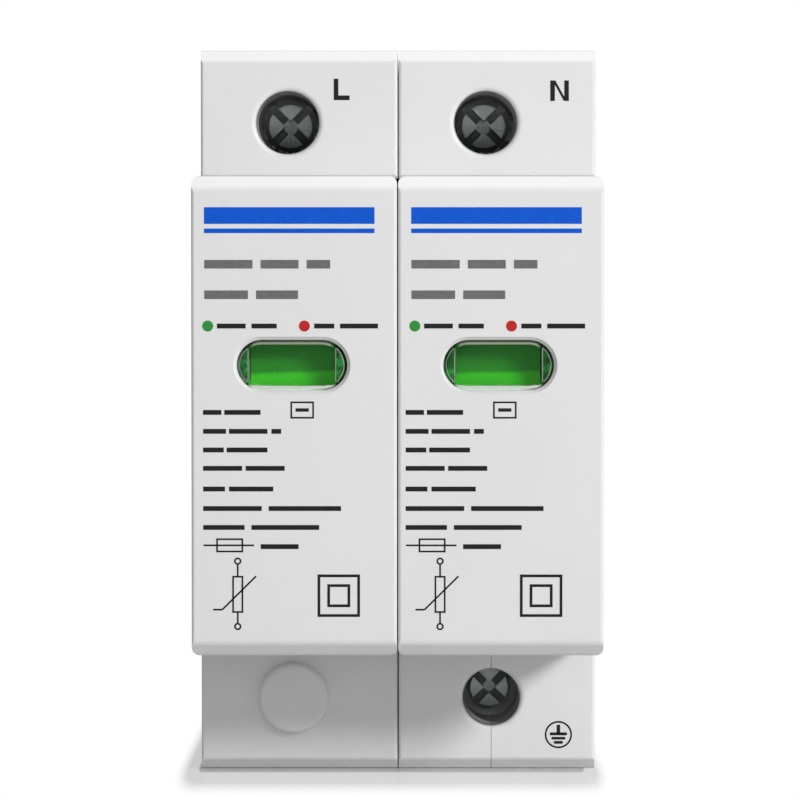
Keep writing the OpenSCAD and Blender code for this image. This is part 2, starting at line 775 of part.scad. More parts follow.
// Terminal screw with a domed head and a cross recess that runs out to the rim
module terminal_screw(side, half, x, thread_d, head_d) {
    top = head_d * recess_top_share / 2;
    tip = head_d * recess_tip_share / 2;
    depth = head_h * recess_depth_share;
    dome_r = (pow(head_d / 2, 2) + pow(head_dome, 2)) / (2 * head_dome);
    edge = asin(head_d / 2 / dome_r);
    color(steel) translate([pole_x(side) + x, head_y0, half * screw_z]) rotate([-90, 0, 0]) difference() {
        union() {
            rotate_extrude() polygon(concat(
                arc([0, dome_r], dome_r, -90, edge - 90),
                arc([head_d / 2 - head_edge_r, head_h - head_edge_r], head_edge_r, 0, 90),
                [[0, head_h]]));
            cylinder(d = thread_d, h = bar_y0 - tip_gap - head_y0);
        }
        for (turn = [45, 135]) rotate([90, 0, turn]) linear_extrude(height = recess_w, center = true)
            polygon([[-top, -cut], [top, -cut], [top, 0], [tip, depth], [-tip, depth], [-top, 0]]);
    }
}

module line_screw(side) {
    terminal_screw(side, 1, line_screw_x, line_thread_d, line_head_d);
}

module earth_screw() {
    terminal_screw(right, -1, earth_screw_x, earth_thread_d, earth_head_d);
}

// Window through the front wall, with a chamfer round its edge
module window_cut() {
    span = (window_w - window_h) / 2;
    r = window_h / 2;
    translate([window_x, 0, window_z]) {
        along_y(front_y - cut, inner_y + cut) stadium(window_w, window_h);
        for (end = [-1, 1]) translate([end * span, front_y, 0]) rotate([-90, 0, 0])
            cylinder(d1 = window_h + 2 * window_chamfer, d2 = window_h, h = window_chamfer);
        along_x(-span, span) polygon([
            [front_y, -r - window_chamfer], [front_y + window_chamfer, -r],
            [front_y + window_chamfer, r], [front_y, r + window_chamfer]
        ]);
    }
}

// Module case, open behind
module module_case(side) {
    proud_y1 = shoulder_y;
    first_groove = front_y + groove_margin;
    color(white) translate([pole_x(side), 0, 0]) difference() {
        intersection() {
            along_x(-module_x, module_x) polygon(concat(
                [[module_y1, module_z]],
                upper_chamfer(front_y, module_z, front_chamfer, front_round),
                lower_chamfer(front_y, -module_z, front_chamfer, front_round),
                [[module_y1, -module_z]]));
            along_z(-module_z - cut, module_z + cut) plan_outline(module_x, front_y, module_y1);
            along_y(front_y - cut, module_y1 + cut) round_rect(2 * module_x, 2 * module_z, front_corner_r);
        }
        block(-inner_x, inner_x, inner_y, module_y1 + cut, -inner_z, inner_z);
        window_cut();
        for (half = [-1, 1], i = [0 : grip_grooves - 1]) in_half(half)
            let (y = first_groove + i * groove_pitch)
            if (y + groove_w < proud_y1)
                block(groove_side - module_x, module_x - groove_side, y, y + groove_w,
                    module_z - groove_d, module_z + cut);
    }
}

// Inner wall and rear plate of a module, with the spring's anchor and the pin's boss
module module_chassis(side) {
    sweep_z = flag_r * sin(trip_angle * 3 / 2) + 2 * swing_gap;
    sweep_y = pivot_y - carrier_r * cos(trip_angle * 3 / 2) + 2 * swing_gap;
    blade_zs = [-blade_z, blade_z];
    plate_x = inner_x - seat_gap;
    plate_z = inner_z - seat_gap;
    slot_x = blade_t / 2 + seat_gap;
    slot_z = blade_w / 2 + seat_gap;
    color(grey_white) translate([pole_x(side), 0, 0]) difference() {
        union() {
            block(-plate_x, plate_x, plate_y, module_y1, -plate_z, plate_z);
            block(web_x0, web_x1, inner_y + web_front_gap, plate_y + seat_gap, -plate_z, plate_z);
            rod_x(pivot_y, pivot_z, hub_d, web_x0, hub_x0 - 2 * seat_gap);
            rod_x(anchor_y, spring_z, post_d, web_x0, arm_x1);
        }
        rod_x(pivot_y, pivot_z, pin_d, web_x0 - cut, hub_x0 + cut);
        block(web_x0 - cut, web_x1 + cut, inner_y, sweep_y, pivot_z - sweep_z, pivot_z + sweep_z);
        block(web_x0 - cut, web_x1 + cut, tab_y0 - 2 * swing_gap, tab_y1 + 2 * swing_gap,
            tab_z0 - 2 * swing_gap, tab_z0 + tab_h + 2 * swing_gap);
        for (z = blade_zs)
            block(-slot_x, slot_x, plate_y - cut, module_y1 + cut, z - slot_z, z + slot_z);
        for (z = blade_zs)
            block(web_x0 - cut, web_x1 + cut, plate_y - blade_neck - layer_gap, plate_y, z - slot_z, z + slot_z);
    }
}

// Clear lens, set in the window from behind
module window_lens(side) {
    lens_w = window_w - 2 * lens_gap;
    lens_h = window_h - 2 * lens_gap;
    lens_y = front_y + lens_recess;
    leg_x = flag_w / 2 + seat_gap;
    color([0.85, 0.93, 0.88, 0.5]) translate([pole_x(side) + window_x, 0, window_z]) {
        hull() {
            along_y(lens_y, inner_y) stadium(lens_w - 2 * lens_bevel, lens_h - 2 * lens_bevel);
            along_y(lens_y + lens_bevel, inner_y) stadium(lens_w, lens_h);
        }
        along_y(inner_y, inner_y + flange_t) stadium(lens_w + 2 * flange_w, lens_h + 2 * flange_w);
        intersection() {
            along_y(inner_y, inner_y + flange_t + leg_l) stadium(lens_w, lens_h);
            for (s = [-1, 1]) translate([s * (leg_x + leg_w / 2), 0, 0])
                block(-leg_w / 2, leg_w / 2, inner_y, inner_y + flange_t + leg_l, -window_h, window_h);
        }
    }
}

// A sector about the pivot, seen from the side, with angles above the forward direction
module sector(r, from, to) {
    polygon([
        [pivot_y, pivot_z],
        [pivot_y - r * cos(from), pivot_z + r * sin(from)],
        [pivot_y - r * cos(to), pivot_z + r * sin(to)]
    ]);
}

// A curved plate about the pivot
module curved_plate(r, t, from, to) {
    intersection() {
        difference() {
            rod_x(pivot_y, pivot_z, 2 * r, window_x - flag_w / 2, window_x + flag_w / 2);
            rod_x(pivot_y, pivot_z, 2 * (r - t), -half_w, half_w);
        }
        along_x(-half_w, half_w) sector(2 * r, from, to);
    }
}

// Green plate in the window while the varistor is connected
module status_flag(side) {
    color([0.2, 0.6, 0.16]) translate([pole_x(side), 0, 0])
        curved_plate(flag_r, flag_t, -half_view, half_view);
}

// Lever with the curved carrier of the flag, its hub and its lower arm
module trip_lever(side) {
    eye_y = post_y + post_d;
    color([0.75, 0.12, 0.1]) translate([pole_x(side), 0, 0]) difference() {
        union() {
            curved_plate(carrier_r, carrier_t, -half_view, half_view + trip_angle);
            rod_x(pivot_y, pivot_z, hub_d, hub_x0, hub_x1);
            intersection() {
                rod_x(pivot_y, pivot_z, 2 * carrier_r - carrier_t, arm_x0, arm_x0 + fork_t);
                along_x(arm_x0, arm_x0 + fork_t) sector(2 * carrier_r, -half_view, half_view + trip_angle);
            }
            block(arm_x0, arm_x1, arm_y0, arm_y1, pivot_z - arm_l, pivot_z);
            for (x = [arm_x0, arm_x1 - ear_plate_t])
                block(x, x + ear_plate_t, arm_y1 - seat_gap, eye_y, spring_z - post_d, spring_z + post_d);
            rod_x(post_y, spring_z, post_d, arm_x0, arm_x1);
        }
        rod_x(pivot_y, pivot_z, pin_d + 2 * pin_gap, hub_x0 - cut, hub_x1 + cut);
    }
}

// Contact strip on the front of the lower arm, with an ear for the lead
module contact_arm(side) {
    color(brass) translate([pole_x(side), 0, 0]) {
        block(arm_x0, arm_x1, contact_y0, contact_y1, pivot_z - arm_l, contact_z1);
        block(arm_x0, arm_x1 + ear_w, contact_y0, contact_y1, contact_z1 - ear_h, contact_z1);
    }
}

module pivot_pin(side) {
    color(steel) translate([pole_x(side), 0, 0]) {
        rod_x(pivot_y, pivot_z, pin_d, web_x0, hub_x1 + seat_gap);
        rod_x(pivot_y, pivot_z, pin_head_d, hub_x1 + seat_gap, hub_x1 + seat_gap + pin_head_t);
    }
}

// Extension spring from the lever's post to the anchor, with a hook at each end
module trip_spring(side) {
    r = (trip_spring_d - trip_spring_wire) / 2;
    y0 = post_y + hook_r + trip_spring_wire;
    y1 = anchor_y - hook_r - trip_spring_wire;
    steps = trip_spring_turns * turn_steps;
    coil = [
        for (i = [0 : steps]) let (a = 360 * i / turn_steps)
            [spring_x + r * sin(a), y0 + (y1 - y0) * i / steps, spring_z + r * cos(a)]
    ];
    turn = hook_half_turn;
    first = [
        for (p = arc([post_y, spring_z], hook_r, turn - 180, -turn - 180, turn_steps)) [spring_x, p[0], p[1]]
    ];
    last = [for (p = arc([anchor_y, spring_z], hook_r, turn, -turn, turn_steps)) [spring_x, p[0], p[1]]];
    color(bright_steel) translate([pole_x(side), 0, 0])
        tube(concat(first, coil, last), trip_spring_wire, spring_sides, [0.3, 1, 0.2]);
}

// Flexible lead from the contact arm's ear to the line blade
module flex_lead(side) {
    start = [arm_x1 + ear_w / 2, contact_y1 + contact_gap, contact_z1 - ear_h / 2];
    end = [blade_t / 2 + lead_d / 2 + contact_gap, plate_y - blade_neck / 2, blade_z];
    bend_shares = [[0, 0, 0], [0, 0.12, 0], [0.06, 0.26, 0.12], [0.2, 0.45, 0.36], [0.42, 0.62, 0.6],
        [0.7, 0.78, 0.84], [0.92, 0.9, 0.97], [1, 1, 1]];
    path = [for (s = bend_shares) [for (k = [0 : 2]) start[k] + (end[k] - start[k]) * s[k]]];
    color(copper) translate([pole_x(side), 0, 0]) tube(path, lead_d, lead_sides, [1, 0, 0]);
}

// Low-melting solder between the tab and the contact arm
module solder_bead(side) {
    z = tab_z0 + tab_h / 2;
    color(bright_steel) translate([pole_x(side), 0, 0])
        rod_y(spring_x, z, solder_d, tab_y1, tab_y1 + solder_t);
}

module varistor(side) {
    y = (varistor_y0 + varistor_y1) / 2;
    color([0.16, 0.3, 0.62]) translate([pole_x(side), y, 0])
        along_x(varistor_x0, varistor_x1) round_rect(varistor_side, varistor_side, varistor_r);
}

// Plate behind the varistor that ends in the lower blade
module earth_electrode(side) {
    y = (varistor_y0 + varistor_y1) / 2;
    plate = varistor_side - 2 * plate_inset;
    color(copper) translate([pole_x(side), 0, 0]) {
        translate([0, y, 0]) along_x(earth_plate_x0, earth_plate_x0 + electrode_t)
            round_rect(plate, plate, varistor_r - plate_inset / 2);
        block(earth_plate_x0, earth_plate_x0 + electrode_t, y, cross_y1,
            -blade_z - blade_w / 2, blade_w / 2 - blade_z);
        block(earth_plate_x0, blade_t / 2, cross_y1 - cross_t, cross_y1,
            -blade_z - blade_w / 2, blade_w / 2 - blade_z);
        blade(cross_y1 - cross_t, -blade_z);
    }
}

// Plug blade with a pointed tip, out through the rear plate
module blade(y0, z) {
    tip_y = -blade_tip_d;
    tip = blade_t / 3;
    along_z(z - blade_w / 2, z + blade_w / 2) polygon([
        [-blade_t / 2, y0], [blade_t / 2, y0], [blade_t / 2, tip_y - blade_t],
        [tip / 2, tip_y], [-tip / 2, tip_y], [-blade_t / 2, tip_y - blade_t]
    ]);
}

// Plate in front of the varistor, with the tab that the solder holds
module line_electrode(side) {
    y = (varistor_y0 + varistor_y1) / 2;
    plate = varistor_side - 2 * plate_inset;
    color(copper) translate([pole_x(side), 0, 0]) {
        translate([0, y, 0]) along_x(varistor_x1, line_plate_x1)
            round_rect(plate, plate, varistor_r - plate_inset / 2);
        block(varistor_x1, arm_x1, tab_y0, tab_y1, tab_z0, tab_z0 + tab_h);
    }
}

module line_blade(side) {
    color(copper) translate([pole_x(side), 0, 0]) blade(plate_y - blade_neck, blade_z);
}

base_case(left);  // base_case_L
base_case(right);  // base_case_N
base_cover(left);  // base_cover_L
base_cover(right);  // base_cover_N
blank_plug();
pole_rivets();
rail_latch(left);  // rail_latch_L
rail_latch(right);  // rail_latch_N
latch_spring(left);  // latch_spring_L
latch_spring(right);  // latch_spring_N
line_contact(left);  // line_contact_L
line_contact(right);  // line_contact_N
earth_contact(left);  // earth_contact_L
earth_contact(right);  // earth_contact_N
earth_link();
contact_clips();
cage(left, 1, line_screw_x, line_thread_d);  // cage_L
cage(right, 1, line_screw_x, line_thread_d);  // cage_N
cage(right, -1, earth_screw_x, earth_thread_d);  // cage_PE
line_screw(left);  // screw_L
line_screw(right);  // screw_N
earth_screw();  // screw_PE
module_case(left);  // module_case_L
module_case(right);  // module_case_N
module_chassis(left);  // module_chassis_L
module_chassis(right);  // module_chassis_N
window_lens(left);  // window_lens_L
window_lens(right);  // window_lens_N
status_flag(left);  // status_flag_L
status_flag(right);  // status_flag_N
trip_lever(left);  // trip_lever_L
trip_lever(right);  // trip_lever_N
contact_arm(left);  // contact_arm_L
contact_arm(right);  // contact_arm_N
pivot_pin(left);  // pivot_pin_L
pivot_pin(right);  // pivot_pin_N
trip_spring(left);  // trip_spring_L
trip_spring(right);  // trip_spring_N
flex_lead(left);  // flex_lead_L
flex_lead(right);  // flex_lead_N
solder_bead(left);  // solder_bead_L
solder_bead(right);  // solder_bead_N
varistor(left);  // varistor_L
varistor(right);  // varistor_N
earth_electrode(left);  // earth_electrode_L
earth_electrode(right);  // earth_electrode_N
line_electrode(left);  // line_electrode_L
line_electrode(right);  // line_electrode_N
line_blade(left);  // line_blade_L
line_blade(right);  // line_blade_N
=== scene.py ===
"""Finishes, print, light and camera of the two-pole surge arrester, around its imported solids."""

import math

import bmesh
import bpy
from mathutils import Matrix, Vector


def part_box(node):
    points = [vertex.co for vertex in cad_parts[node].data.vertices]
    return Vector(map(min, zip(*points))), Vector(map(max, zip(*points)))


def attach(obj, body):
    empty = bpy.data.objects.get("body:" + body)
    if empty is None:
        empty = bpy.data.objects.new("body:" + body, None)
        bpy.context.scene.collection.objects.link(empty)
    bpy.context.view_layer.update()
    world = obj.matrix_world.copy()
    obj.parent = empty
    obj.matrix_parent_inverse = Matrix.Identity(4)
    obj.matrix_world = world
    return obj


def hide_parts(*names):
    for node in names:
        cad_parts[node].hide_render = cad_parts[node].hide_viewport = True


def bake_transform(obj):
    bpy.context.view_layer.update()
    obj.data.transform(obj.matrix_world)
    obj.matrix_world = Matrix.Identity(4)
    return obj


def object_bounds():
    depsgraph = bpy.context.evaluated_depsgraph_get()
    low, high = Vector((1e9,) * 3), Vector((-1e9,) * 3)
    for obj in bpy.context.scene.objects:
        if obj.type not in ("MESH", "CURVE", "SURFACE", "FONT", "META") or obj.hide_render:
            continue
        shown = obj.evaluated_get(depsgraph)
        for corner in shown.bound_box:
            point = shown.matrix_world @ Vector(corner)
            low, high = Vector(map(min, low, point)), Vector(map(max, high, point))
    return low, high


MM = 0.001
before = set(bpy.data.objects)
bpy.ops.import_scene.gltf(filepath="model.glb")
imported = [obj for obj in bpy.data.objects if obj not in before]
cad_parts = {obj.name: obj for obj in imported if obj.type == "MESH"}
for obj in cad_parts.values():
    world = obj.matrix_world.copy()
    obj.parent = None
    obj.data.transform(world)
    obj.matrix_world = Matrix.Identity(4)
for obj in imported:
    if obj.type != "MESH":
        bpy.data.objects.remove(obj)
cad_low, cad_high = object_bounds()

# Poles: the middle of each along the rail, in millimetres
POLE_PITCH = 18.0
POLES = {"L": -POLE_PITCH / 2, "N": POLE_PITCH / 2}
MODULE_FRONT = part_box("module_case_L")[0].y / MM
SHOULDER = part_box("base_case_L")[0].y / MM
FOOT = cad_low.z / MM

# Driver holes: their middle from that of their pole and from the rail's centre line, their radius, and how
# far their edges are rounded
HOLES = {"L": (-1.05, 26.2, 2.83), "N": (-1.05, 26.2, 2.83), "PE": (-0.5, -26.2, 2.575)}
HOLE_ROUND = 0.5

# Window: its middle from that of the module, its length and height, and half those of its lens's raised flat
WINDOW_MIDDLE = (-0.2, 4.47)
WINDOW_SIZE = (9.65, 4.4)
LENS_FLAT = (3.74, 1.8)

# Photograph's frame: the camera's place and aim in millimetres, and its lens for the width of the picture
CAMERA_PLACE = (1.0, -394.0, 11.54)
CAMERA_AIM = (0.21, -60.0, 1.45)
SENSOR_WIDTH = 36.0
PHOTO_FOCAL_SHARE = 3843 / 800


def point(x, y, z):
    """A place given in millimetres, in metres."""
    return Vector((x * MM, y * MM, z * MM))


def add_object(name, data):
    """An object of the scene, made of that mesh, lamp or camera."""
    piece = bpy.data.objects.new(name, data)
    bpy.context.scene.collection.objects.link(piece)
    return piece


# Shader expressions


class Socket:
    """A shader socket that Python's operators work on, each adding one Math node."""

    def __init__(self, nodes, socket):
        self.nodes = nodes
        self.socket = socket

    def math(self, operation, *others):
        """Adds a Math node of that operation."""
        return self.nodes.add("Math", {"operation": operation}, [self, *others])

    def __add__(self, other):
        return self.math("ADD", other)

    __radd__ = __add__

    def __sub__(self, other):
        return self.math("SUBTRACT", other)

    def __rsub__(self, other):
        return self.nodes.add("Math", {"operation": "SUBTRACT"}, [other, self])

    def __mul__(self, other):
        return self.math("MULTIPLY", other)

    __rmul__ = __mul__

    def __truediv__(self, other):
        return self.math("DIVIDE", other)

    def __abs__(self):
        return self.math("ABSOLUTE")

    def power(self, exponent):
        return self.math("POWER", exponent)

    def most(self, other):
        return self.math("MAXIMUM", other)

    def least(self, other):
        return self.math("MINIMUM", other)

    def ramp(self, low, high):
        """0 at low, 1 at high and smooth between them."""
        settings = {"interpolation_type": "SMOOTHSTEP"}
        return self.nodes.add("MapRange", settings, {"Value": self, "From Min": low, "From Max": high})

    def between(self, low, high, soft):
        """1 from low to high and 0 outside, with soft ends."""
        return self.ramp(low - soft, low + soft) * (1 - self.ramp(high - soft, high + soft))


class Nodes:
    """A tree of shader nodes and the node it ends in."""

    def __init__(self, tree, output):
        self.tree = tree
        self.output = tree.nodes[output]

    def join(self, value, socket):
        """Links a shader socket to another, or sets a plain value on it."""
        if isinstance(value, Socket):
            self.tree.links.new(value.socket, socket)
        else:
            socket.default_value = value

    def add(self, kind, settings=None, inputs=(), output=0):
        """Adds a node of that kind, sets it, joins or sets its sockets and gives one output."""
        node = self.tree.nodes.new("ShaderNode" + kind)
        for name, value in (settings or {}).items():
            setattr(node, name, value)
        pairs = inputs.items() if isinstance(inputs, dict) else enumerate(inputs)
        for key, value in pairs:
            self.join(value, node.inputs[key])
        return Socket(self, node.outputs[output])

    def seen_by(self, rays):
        """1 for rays of that kind, such as Camera, and 0 for all others."""
        return self.add("LightPath", output="Is %s Ray" % rays)

    def show(self, factor, first, second):
        """Ends the tree in a mix of two shaders."""
        mix = self.add("MixShader", {}, [factor, first, second])
        self.join(mix, self.output.inputs["Surface"])


class Finish(Nodes):
    """One material: a Principled shader and the nodes that feed it."""

    def __init__(self, name, colour, roughness, **sockets):
        self.material = bpy.data.materials.new(name)
        self.material.use_nodes = True
        super().__init__(self.material.node_tree, "Material Output")
        self.shader = self.tree.nodes["Principled BSDF"]
        self.surface = Socket(self, self.shader.outputs[0])
        self.set("Base Color", (*colour, 1.0))
        self.set("Roughness", roughness)
        for socket, value in sockets.items():
            self.set(socket.replace("_", " "), value)
        self.place = self.add("TexCoord", output="Object")
        parts = self.add("SeparateXYZ", {}, [self.place]).socket.node
        self.x, self.y, self.z = (Socket(self, parts.outputs[axis]) * (1 / MM) for axis in "XYZ")

    def set(self, name, value):
        """Sets a socket of the shader, or links it."""
        self.join(value, self.shader.inputs[name])

    def noise(self, size, detail=2.0, roughness=0.5, stretch=(1, 1, 1)):
        """Noise with features of that size in millimetres, centred on 0.5."""
        place = self.place
        if stretch != (1, 1, 1):
            place = self.add("Mapping", {}, {"Vector": self.place, "Scale": stretch})
        inputs = {"Vector": place, "Scale": 1 / (size * MM), "Detail": detail, "Roughness": roughness}
        return self.add("TexNoise", {}, inputs, "Fac")

    def noise_at(self, u, v, size):
        """Flat noise over two shader values, with features of that size."""
        place = self.add("CombineXYZ", {}, [u, v])
        return self.add("TexNoise", {}, {"Vector": place, "Scale": 1 / size, "Detail": 2.0}, "Fac")

    def blend(self, factor, first, second):
        """Mixes two colours by a factor."""
        first, second = (part if isinstance(part, Socket) else (*part, 1.0) for part in (first, second))
        return self.add("Mix", {"data_type": "RGBA"}, {"Factor": factor, 6: first, 7: second}, 2)

    def bump(self, height, distance):
        """Feeds the normal with a height of 0 to 1, worth that distance in millimetres."""
        inputs = {"Distance": distance * MM, "Strength": 1.0, "Height": height}
        self.set("Normal", self.add("Bump", {}, inputs))


def shade(colour, factor):
    """A colour made lighter or darker."""
    return tuple(min(1.0, part * factor) for part in colour)


# Finishes

# Painted shade on the driver holes' walls: how far beyond the radius it begins and is full, the depths at
# which it starts and ends with their softness, and the depths between which the mouth's dark colour turns
# into the paler deep one, painted lighter where less light reaches
WALL_EDGE = (0.35, 0.25)
WALL_DEPTH = (-0.23, 10.0, 0.13)
WALL_PALING = (0.6, 3.5)
WALL_ROUGHNESS = 0.95

# Painted light and shade on the screw heads: how far beyond the hole it ends, the share of the hole's radius
# over which the painted light comes in from above, what is added to that light, and the shades of the steel
# in painted shade and in painted light
HEAD_EDGE = 0.3
HEAD_LIGHT = 0.9
HEAD_LIFT = {"L": 0.0, "N": 0.0, "PE": 0.45}
HEAD_SHADES = (0.22, 2.8)

# Marks of drivers on the heads, as rays out to a share of the head's radius, painted pale only where the
# painted light falls, and a pale rim, a painted highlight broken up by speckles
RAY_MIDDLE = 0.2
RAY_SIZE = 0.22
RAY_RAMP = (0.45, 0.7)
RAY_END = (0.8, 0.72)
RAY_STRENGTH = 0.8
SCORED_LIT_STEEL = (0.62, 0.72, 0.68)
PALE_RIM = (0.2, 0.1)
RIM_HIGHLIGHT_STEEL = (0.62, 0.64, 0.63)

# Painted highlights and reflections on the lens, as lines. Those of its foot and crown and the arcs round its
# ends lie inwards from its edge, and the sides outwards from its flat: where each starts and ends, its
# softness and how much it shows
LENS_FOOT, FOOT_SHOWS = (0.13, 0.4, 0.03), 0.95
LENS_CROWN, CROWN_SHOWS = (0.2, 0.4, 0.05), 0.75
LENS_ARCS, ARCS_SHOW = (0.24, 0.31, 0.05), 0.6
LENS_SIDES, SIDES_SHOW = (0.05, 0.1, 0.03), 0.55

# The foot and crown meet over a height, and both their ends are cut at a slant between two places across.
# The arcs wander inwards and outwards, and the long lines by a share of that
HALVES_MEET = 0.3
FOOT_CUT = (2.5, 4.3, 4.0)
CROWN_CUT = (-0.8, 3.5, 3.0)
ARC_WANDER = 0.16
LINE_WANDER = 0.3

# Green ends of the lens, past the flat's ends and level with it, with painted shade in dark greens, and the
# dark gap at its edge and below it, painted shade as well
ENDS_RAMP, ENDS_INWARDS, ENDS_SHOW = (-0.05, 0.15), (0.25, 0.35), 0.6
LEVEL_RAMP = (-0.2, -0.4)
GAP_INWARDS, GAP_UP = (0.2, 0.1), (-2.1, -1.2)

# Colours of the lens: its clear body, the green tint of its ends, the gap's painted shade, the tint of the
# lamps' light that passes it, the ends' painted shade in dark greens with lighter patches, and the pale of
# the painted highlights. The lines' pale takes the place of the ends' green where a line shows so strongly
PALE_RAMP = (0.1, 0.4)
SHINE_RAMP = (0.4, 0.65)
LENS_CLEAR = (0.93, 0.985, 0.95)
LENS_GREEN = (0.2, 0.75, 0.38)
LENS_GAP = (0.10, 0.16, 0.09)
LENS_SHADE = (0.9, 0.95, 0.91)
END_GREENS = ((0.010, 0.075, 0.012), (0.035, 0.34, 0.06))
LINE_PALES = ((0.42, 0.42, 0.36), (0.94, 0.96, 0.93))

# Greens of the status flag, painted light and shade: deep greens for the painted shade above and a bright
# green for the painted light in its lower third, which also glows. The heights from the window's middle
# between which one turns into the next slope a little along the flag and run in waves
FLAG_GREEN = (0.02, 0.2, 0.02)
FLAG_DEEPS, DEEP_RAMP = ((0.008, 0.100, 0.007), (0.010, 0.112, 0.008)), (1.9, -0.2)
FLAG_BRIGHT, BRIGHT_RAMP = (0.023, 0.25, 0.010), (-0.45, -0.85)
FLAG_SLOPE = 0.04
FLAG_WAVES = 0.5


def moulded(name, colour, roughness, spark_size=0.16, spark_depth=0.004):
    """Moulded plastic: spark-eroded grain, slight flow marks and uneven gloss."""
    finish = Finish(name, colour, roughness, Specular_IOR_Level=0.45)
    grain = finish.noise(spark_size, detail=3.0, roughness=0.6)
    flow = finish.noise(9.0, detail=3.0, stretch=(1, 1, 0.4))
    scuffs = finish.noise(1.6, detail=4.0, roughness=0.65, stretch=(1, 1, 2.2)).ramp(0.62, 0.8)
    finish.tint = finish.blend(flow.ramp(0.3, 0.7), shade(colour, 0.985), shade(colour, 1.012))
    finish.set("Base Color", finish.tint)
    finish.gloss = roughness + (flow - 0.5) * 0.1 + (grain - 0.5) * 0.08 - scuffs * 0.04
    finish.set("Roughness", finish.gloss)
    finish.bump(grain * 0.8 + flow * 0.2, spark_depth)
    return finish


def from_holes(finish):
    """For each driver hole: places across and up from its middle, the distance from it and its radius."""
    for place, (x, z, r) in HOLES.items():
        pole = POLES.get(place, POLES["N"])
        across, up = finish.x - (pole + x), finish.z - z
        yield across, up, (across * across + up * up).power(0.5), r


def painted_hole_shade(finish, mouth, deep):
    """Painted shade on the walls of the driver holes in a moulded finish: dark at the mouth, painted paler
    further in where less light reaches.
    """
    wall = 0.0
    for _, _, away, r in from_holes(finish):
        wall = away.ramp(r + WALL_EDGE[0], r + WALL_EDGE[1]) + wall
    depth = finish.y - (SHOULDER + HOLE_ROUND)
    colour = finish.blend(depth.ramp(*WALL_PALING), mouth, deep)
    wall = (wall * depth.between(*WALL_DEPTH)).least(1.0)
    finish.set("Base Color", finish.blend(wall, finish.tint, colour))
    finish.set("Roughness", finish.gloss * (1 - wall) + wall * WALL_ROUGHNESS)


def screw_steel_with_painted_light(name, colour, roughness):
    """Dull plated screw heads with painted light: lighter above, painted shade below, driver marks painted
    pale where that light falls, and a speckled painted highlight on the rim.
    """
    finish = Finish(name, colour, roughness, Metallic=0.45)
    grain = finish.noise(0.18, detail=4.0, roughness=0.6)
    rim_speckles = finish.noise(0.5, detail=3.0).ramp(0.42, 0.62)
    light, marks, edges = 0.0, 0.0, 0.0
    for place, (across, up, away, r) in zip(HOLES, from_holes(finish)):
        low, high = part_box("screw_" + place)
        rim = (high.x - low.x) / 2 / MM
        here = away.ramp(r + HEAD_EDGE, r)
        light = (up.ramp(-HEAD_LIGHT * r, HEAD_LIGHT * r) + HEAD_LIFT[place]) * here + light
        spread = away + RAY_MIDDLE
        rays = finish.noise_at(across / spread, up / spread, RAY_SIZE).ramp(*RAY_RAMP)
        marks = rays * away.ramp(rim * RAY_END[0], rim * RAY_END[1]) * here + marks
        edges = away.ramp(rim - PALE_RIM[0], rim - PALE_RIM[1]) * rim_speckles * here + edges
    light = light.least(1.0)
    # Painted light from above and painted shade below, as a lighter and a darker shade of the steel
    painted_light_and_shade = finish.blend(light, *(shade(colour, factor) for factor in HEAD_SHADES))
    scored_and_lit = finish.blend(marks * light * RAY_STRENGTH, painted_light_and_shade, SCORED_LIT_STEEL)
    # Pale rim: a painted highlight, broken up by speckles
    finish.set("Base Color", finish.blend(edges, scored_and_lit, RIM_HIGHLIGHT_STEEL))
    finish.set("Roughness", roughness + (grain - 0.5) * 0.2)
    finish.bump(grain * 0.5 + marks * 0.5, 0.03)
    return finish


def ink(name, colour):
    """Pad-printed ink: nearly matt, a little thinner in places."""
    finish = Finish(name, colour, 0.42, Specular_IOR_Level=0.15)
    cover = finish.noise(0.35, detail=3.0, roughness=0.6)
    patches = finish.noise(2.5, detail=2.0)
    finish.set("Base Color", finish.blend(cover.ramp(0.35, 0.75), shade(colour, 0.93), shade(colour, 1.08)))
    finish.set("Roughness", 0.36 + patches * 0.12)
    finish.bump(cover, 0.002)
    return finish


def metal(name, colour, roughness, grain=(1, 1, 1), grain_size=0.25):
    """Metal: drawn or plated grain, dull patches and fine scratches."""
    finish = Finish(name, colour, roughness, Metallic=1.0)
    lines = finish.noise(grain_size, detail=4.0, roughness=0.6, stretch=grain)
    patches = finish.noise(1.3, detail=3.0, roughness=0.6)
    dull = patches.ramp(0.52, 0.75)
    finish.set("Base Color", finish.blend(dull, shade(colour, 1.04), shade(colour, 0.82)))
    finish.set("Roughness", roughness + dull * 0.16 + (lines - 0.5) * 0.18)
    finish.bump(lines * 0.7 + patches * 0.3, 0.006)
    return finish


def beside_window(finish):
    """Places on a module's front from the middle of its window: across, up, and inwards from its edge."""
    across = finish.x - finish.x.math("SIGN") * (POLE_PITCH / 2) - WINDOW_MIDDLE[0]
    up = finish.z - WINDOW_MIDDLE[1]
    beyond = (abs(across) - (WINDOW_SIZE[0] - WINDOW_SIZE[1]) / 2).most(0.0)
    return across, up, WINDOW_SIZE[1] / 2 - (beyond * beyond + up * up).power(0.5)


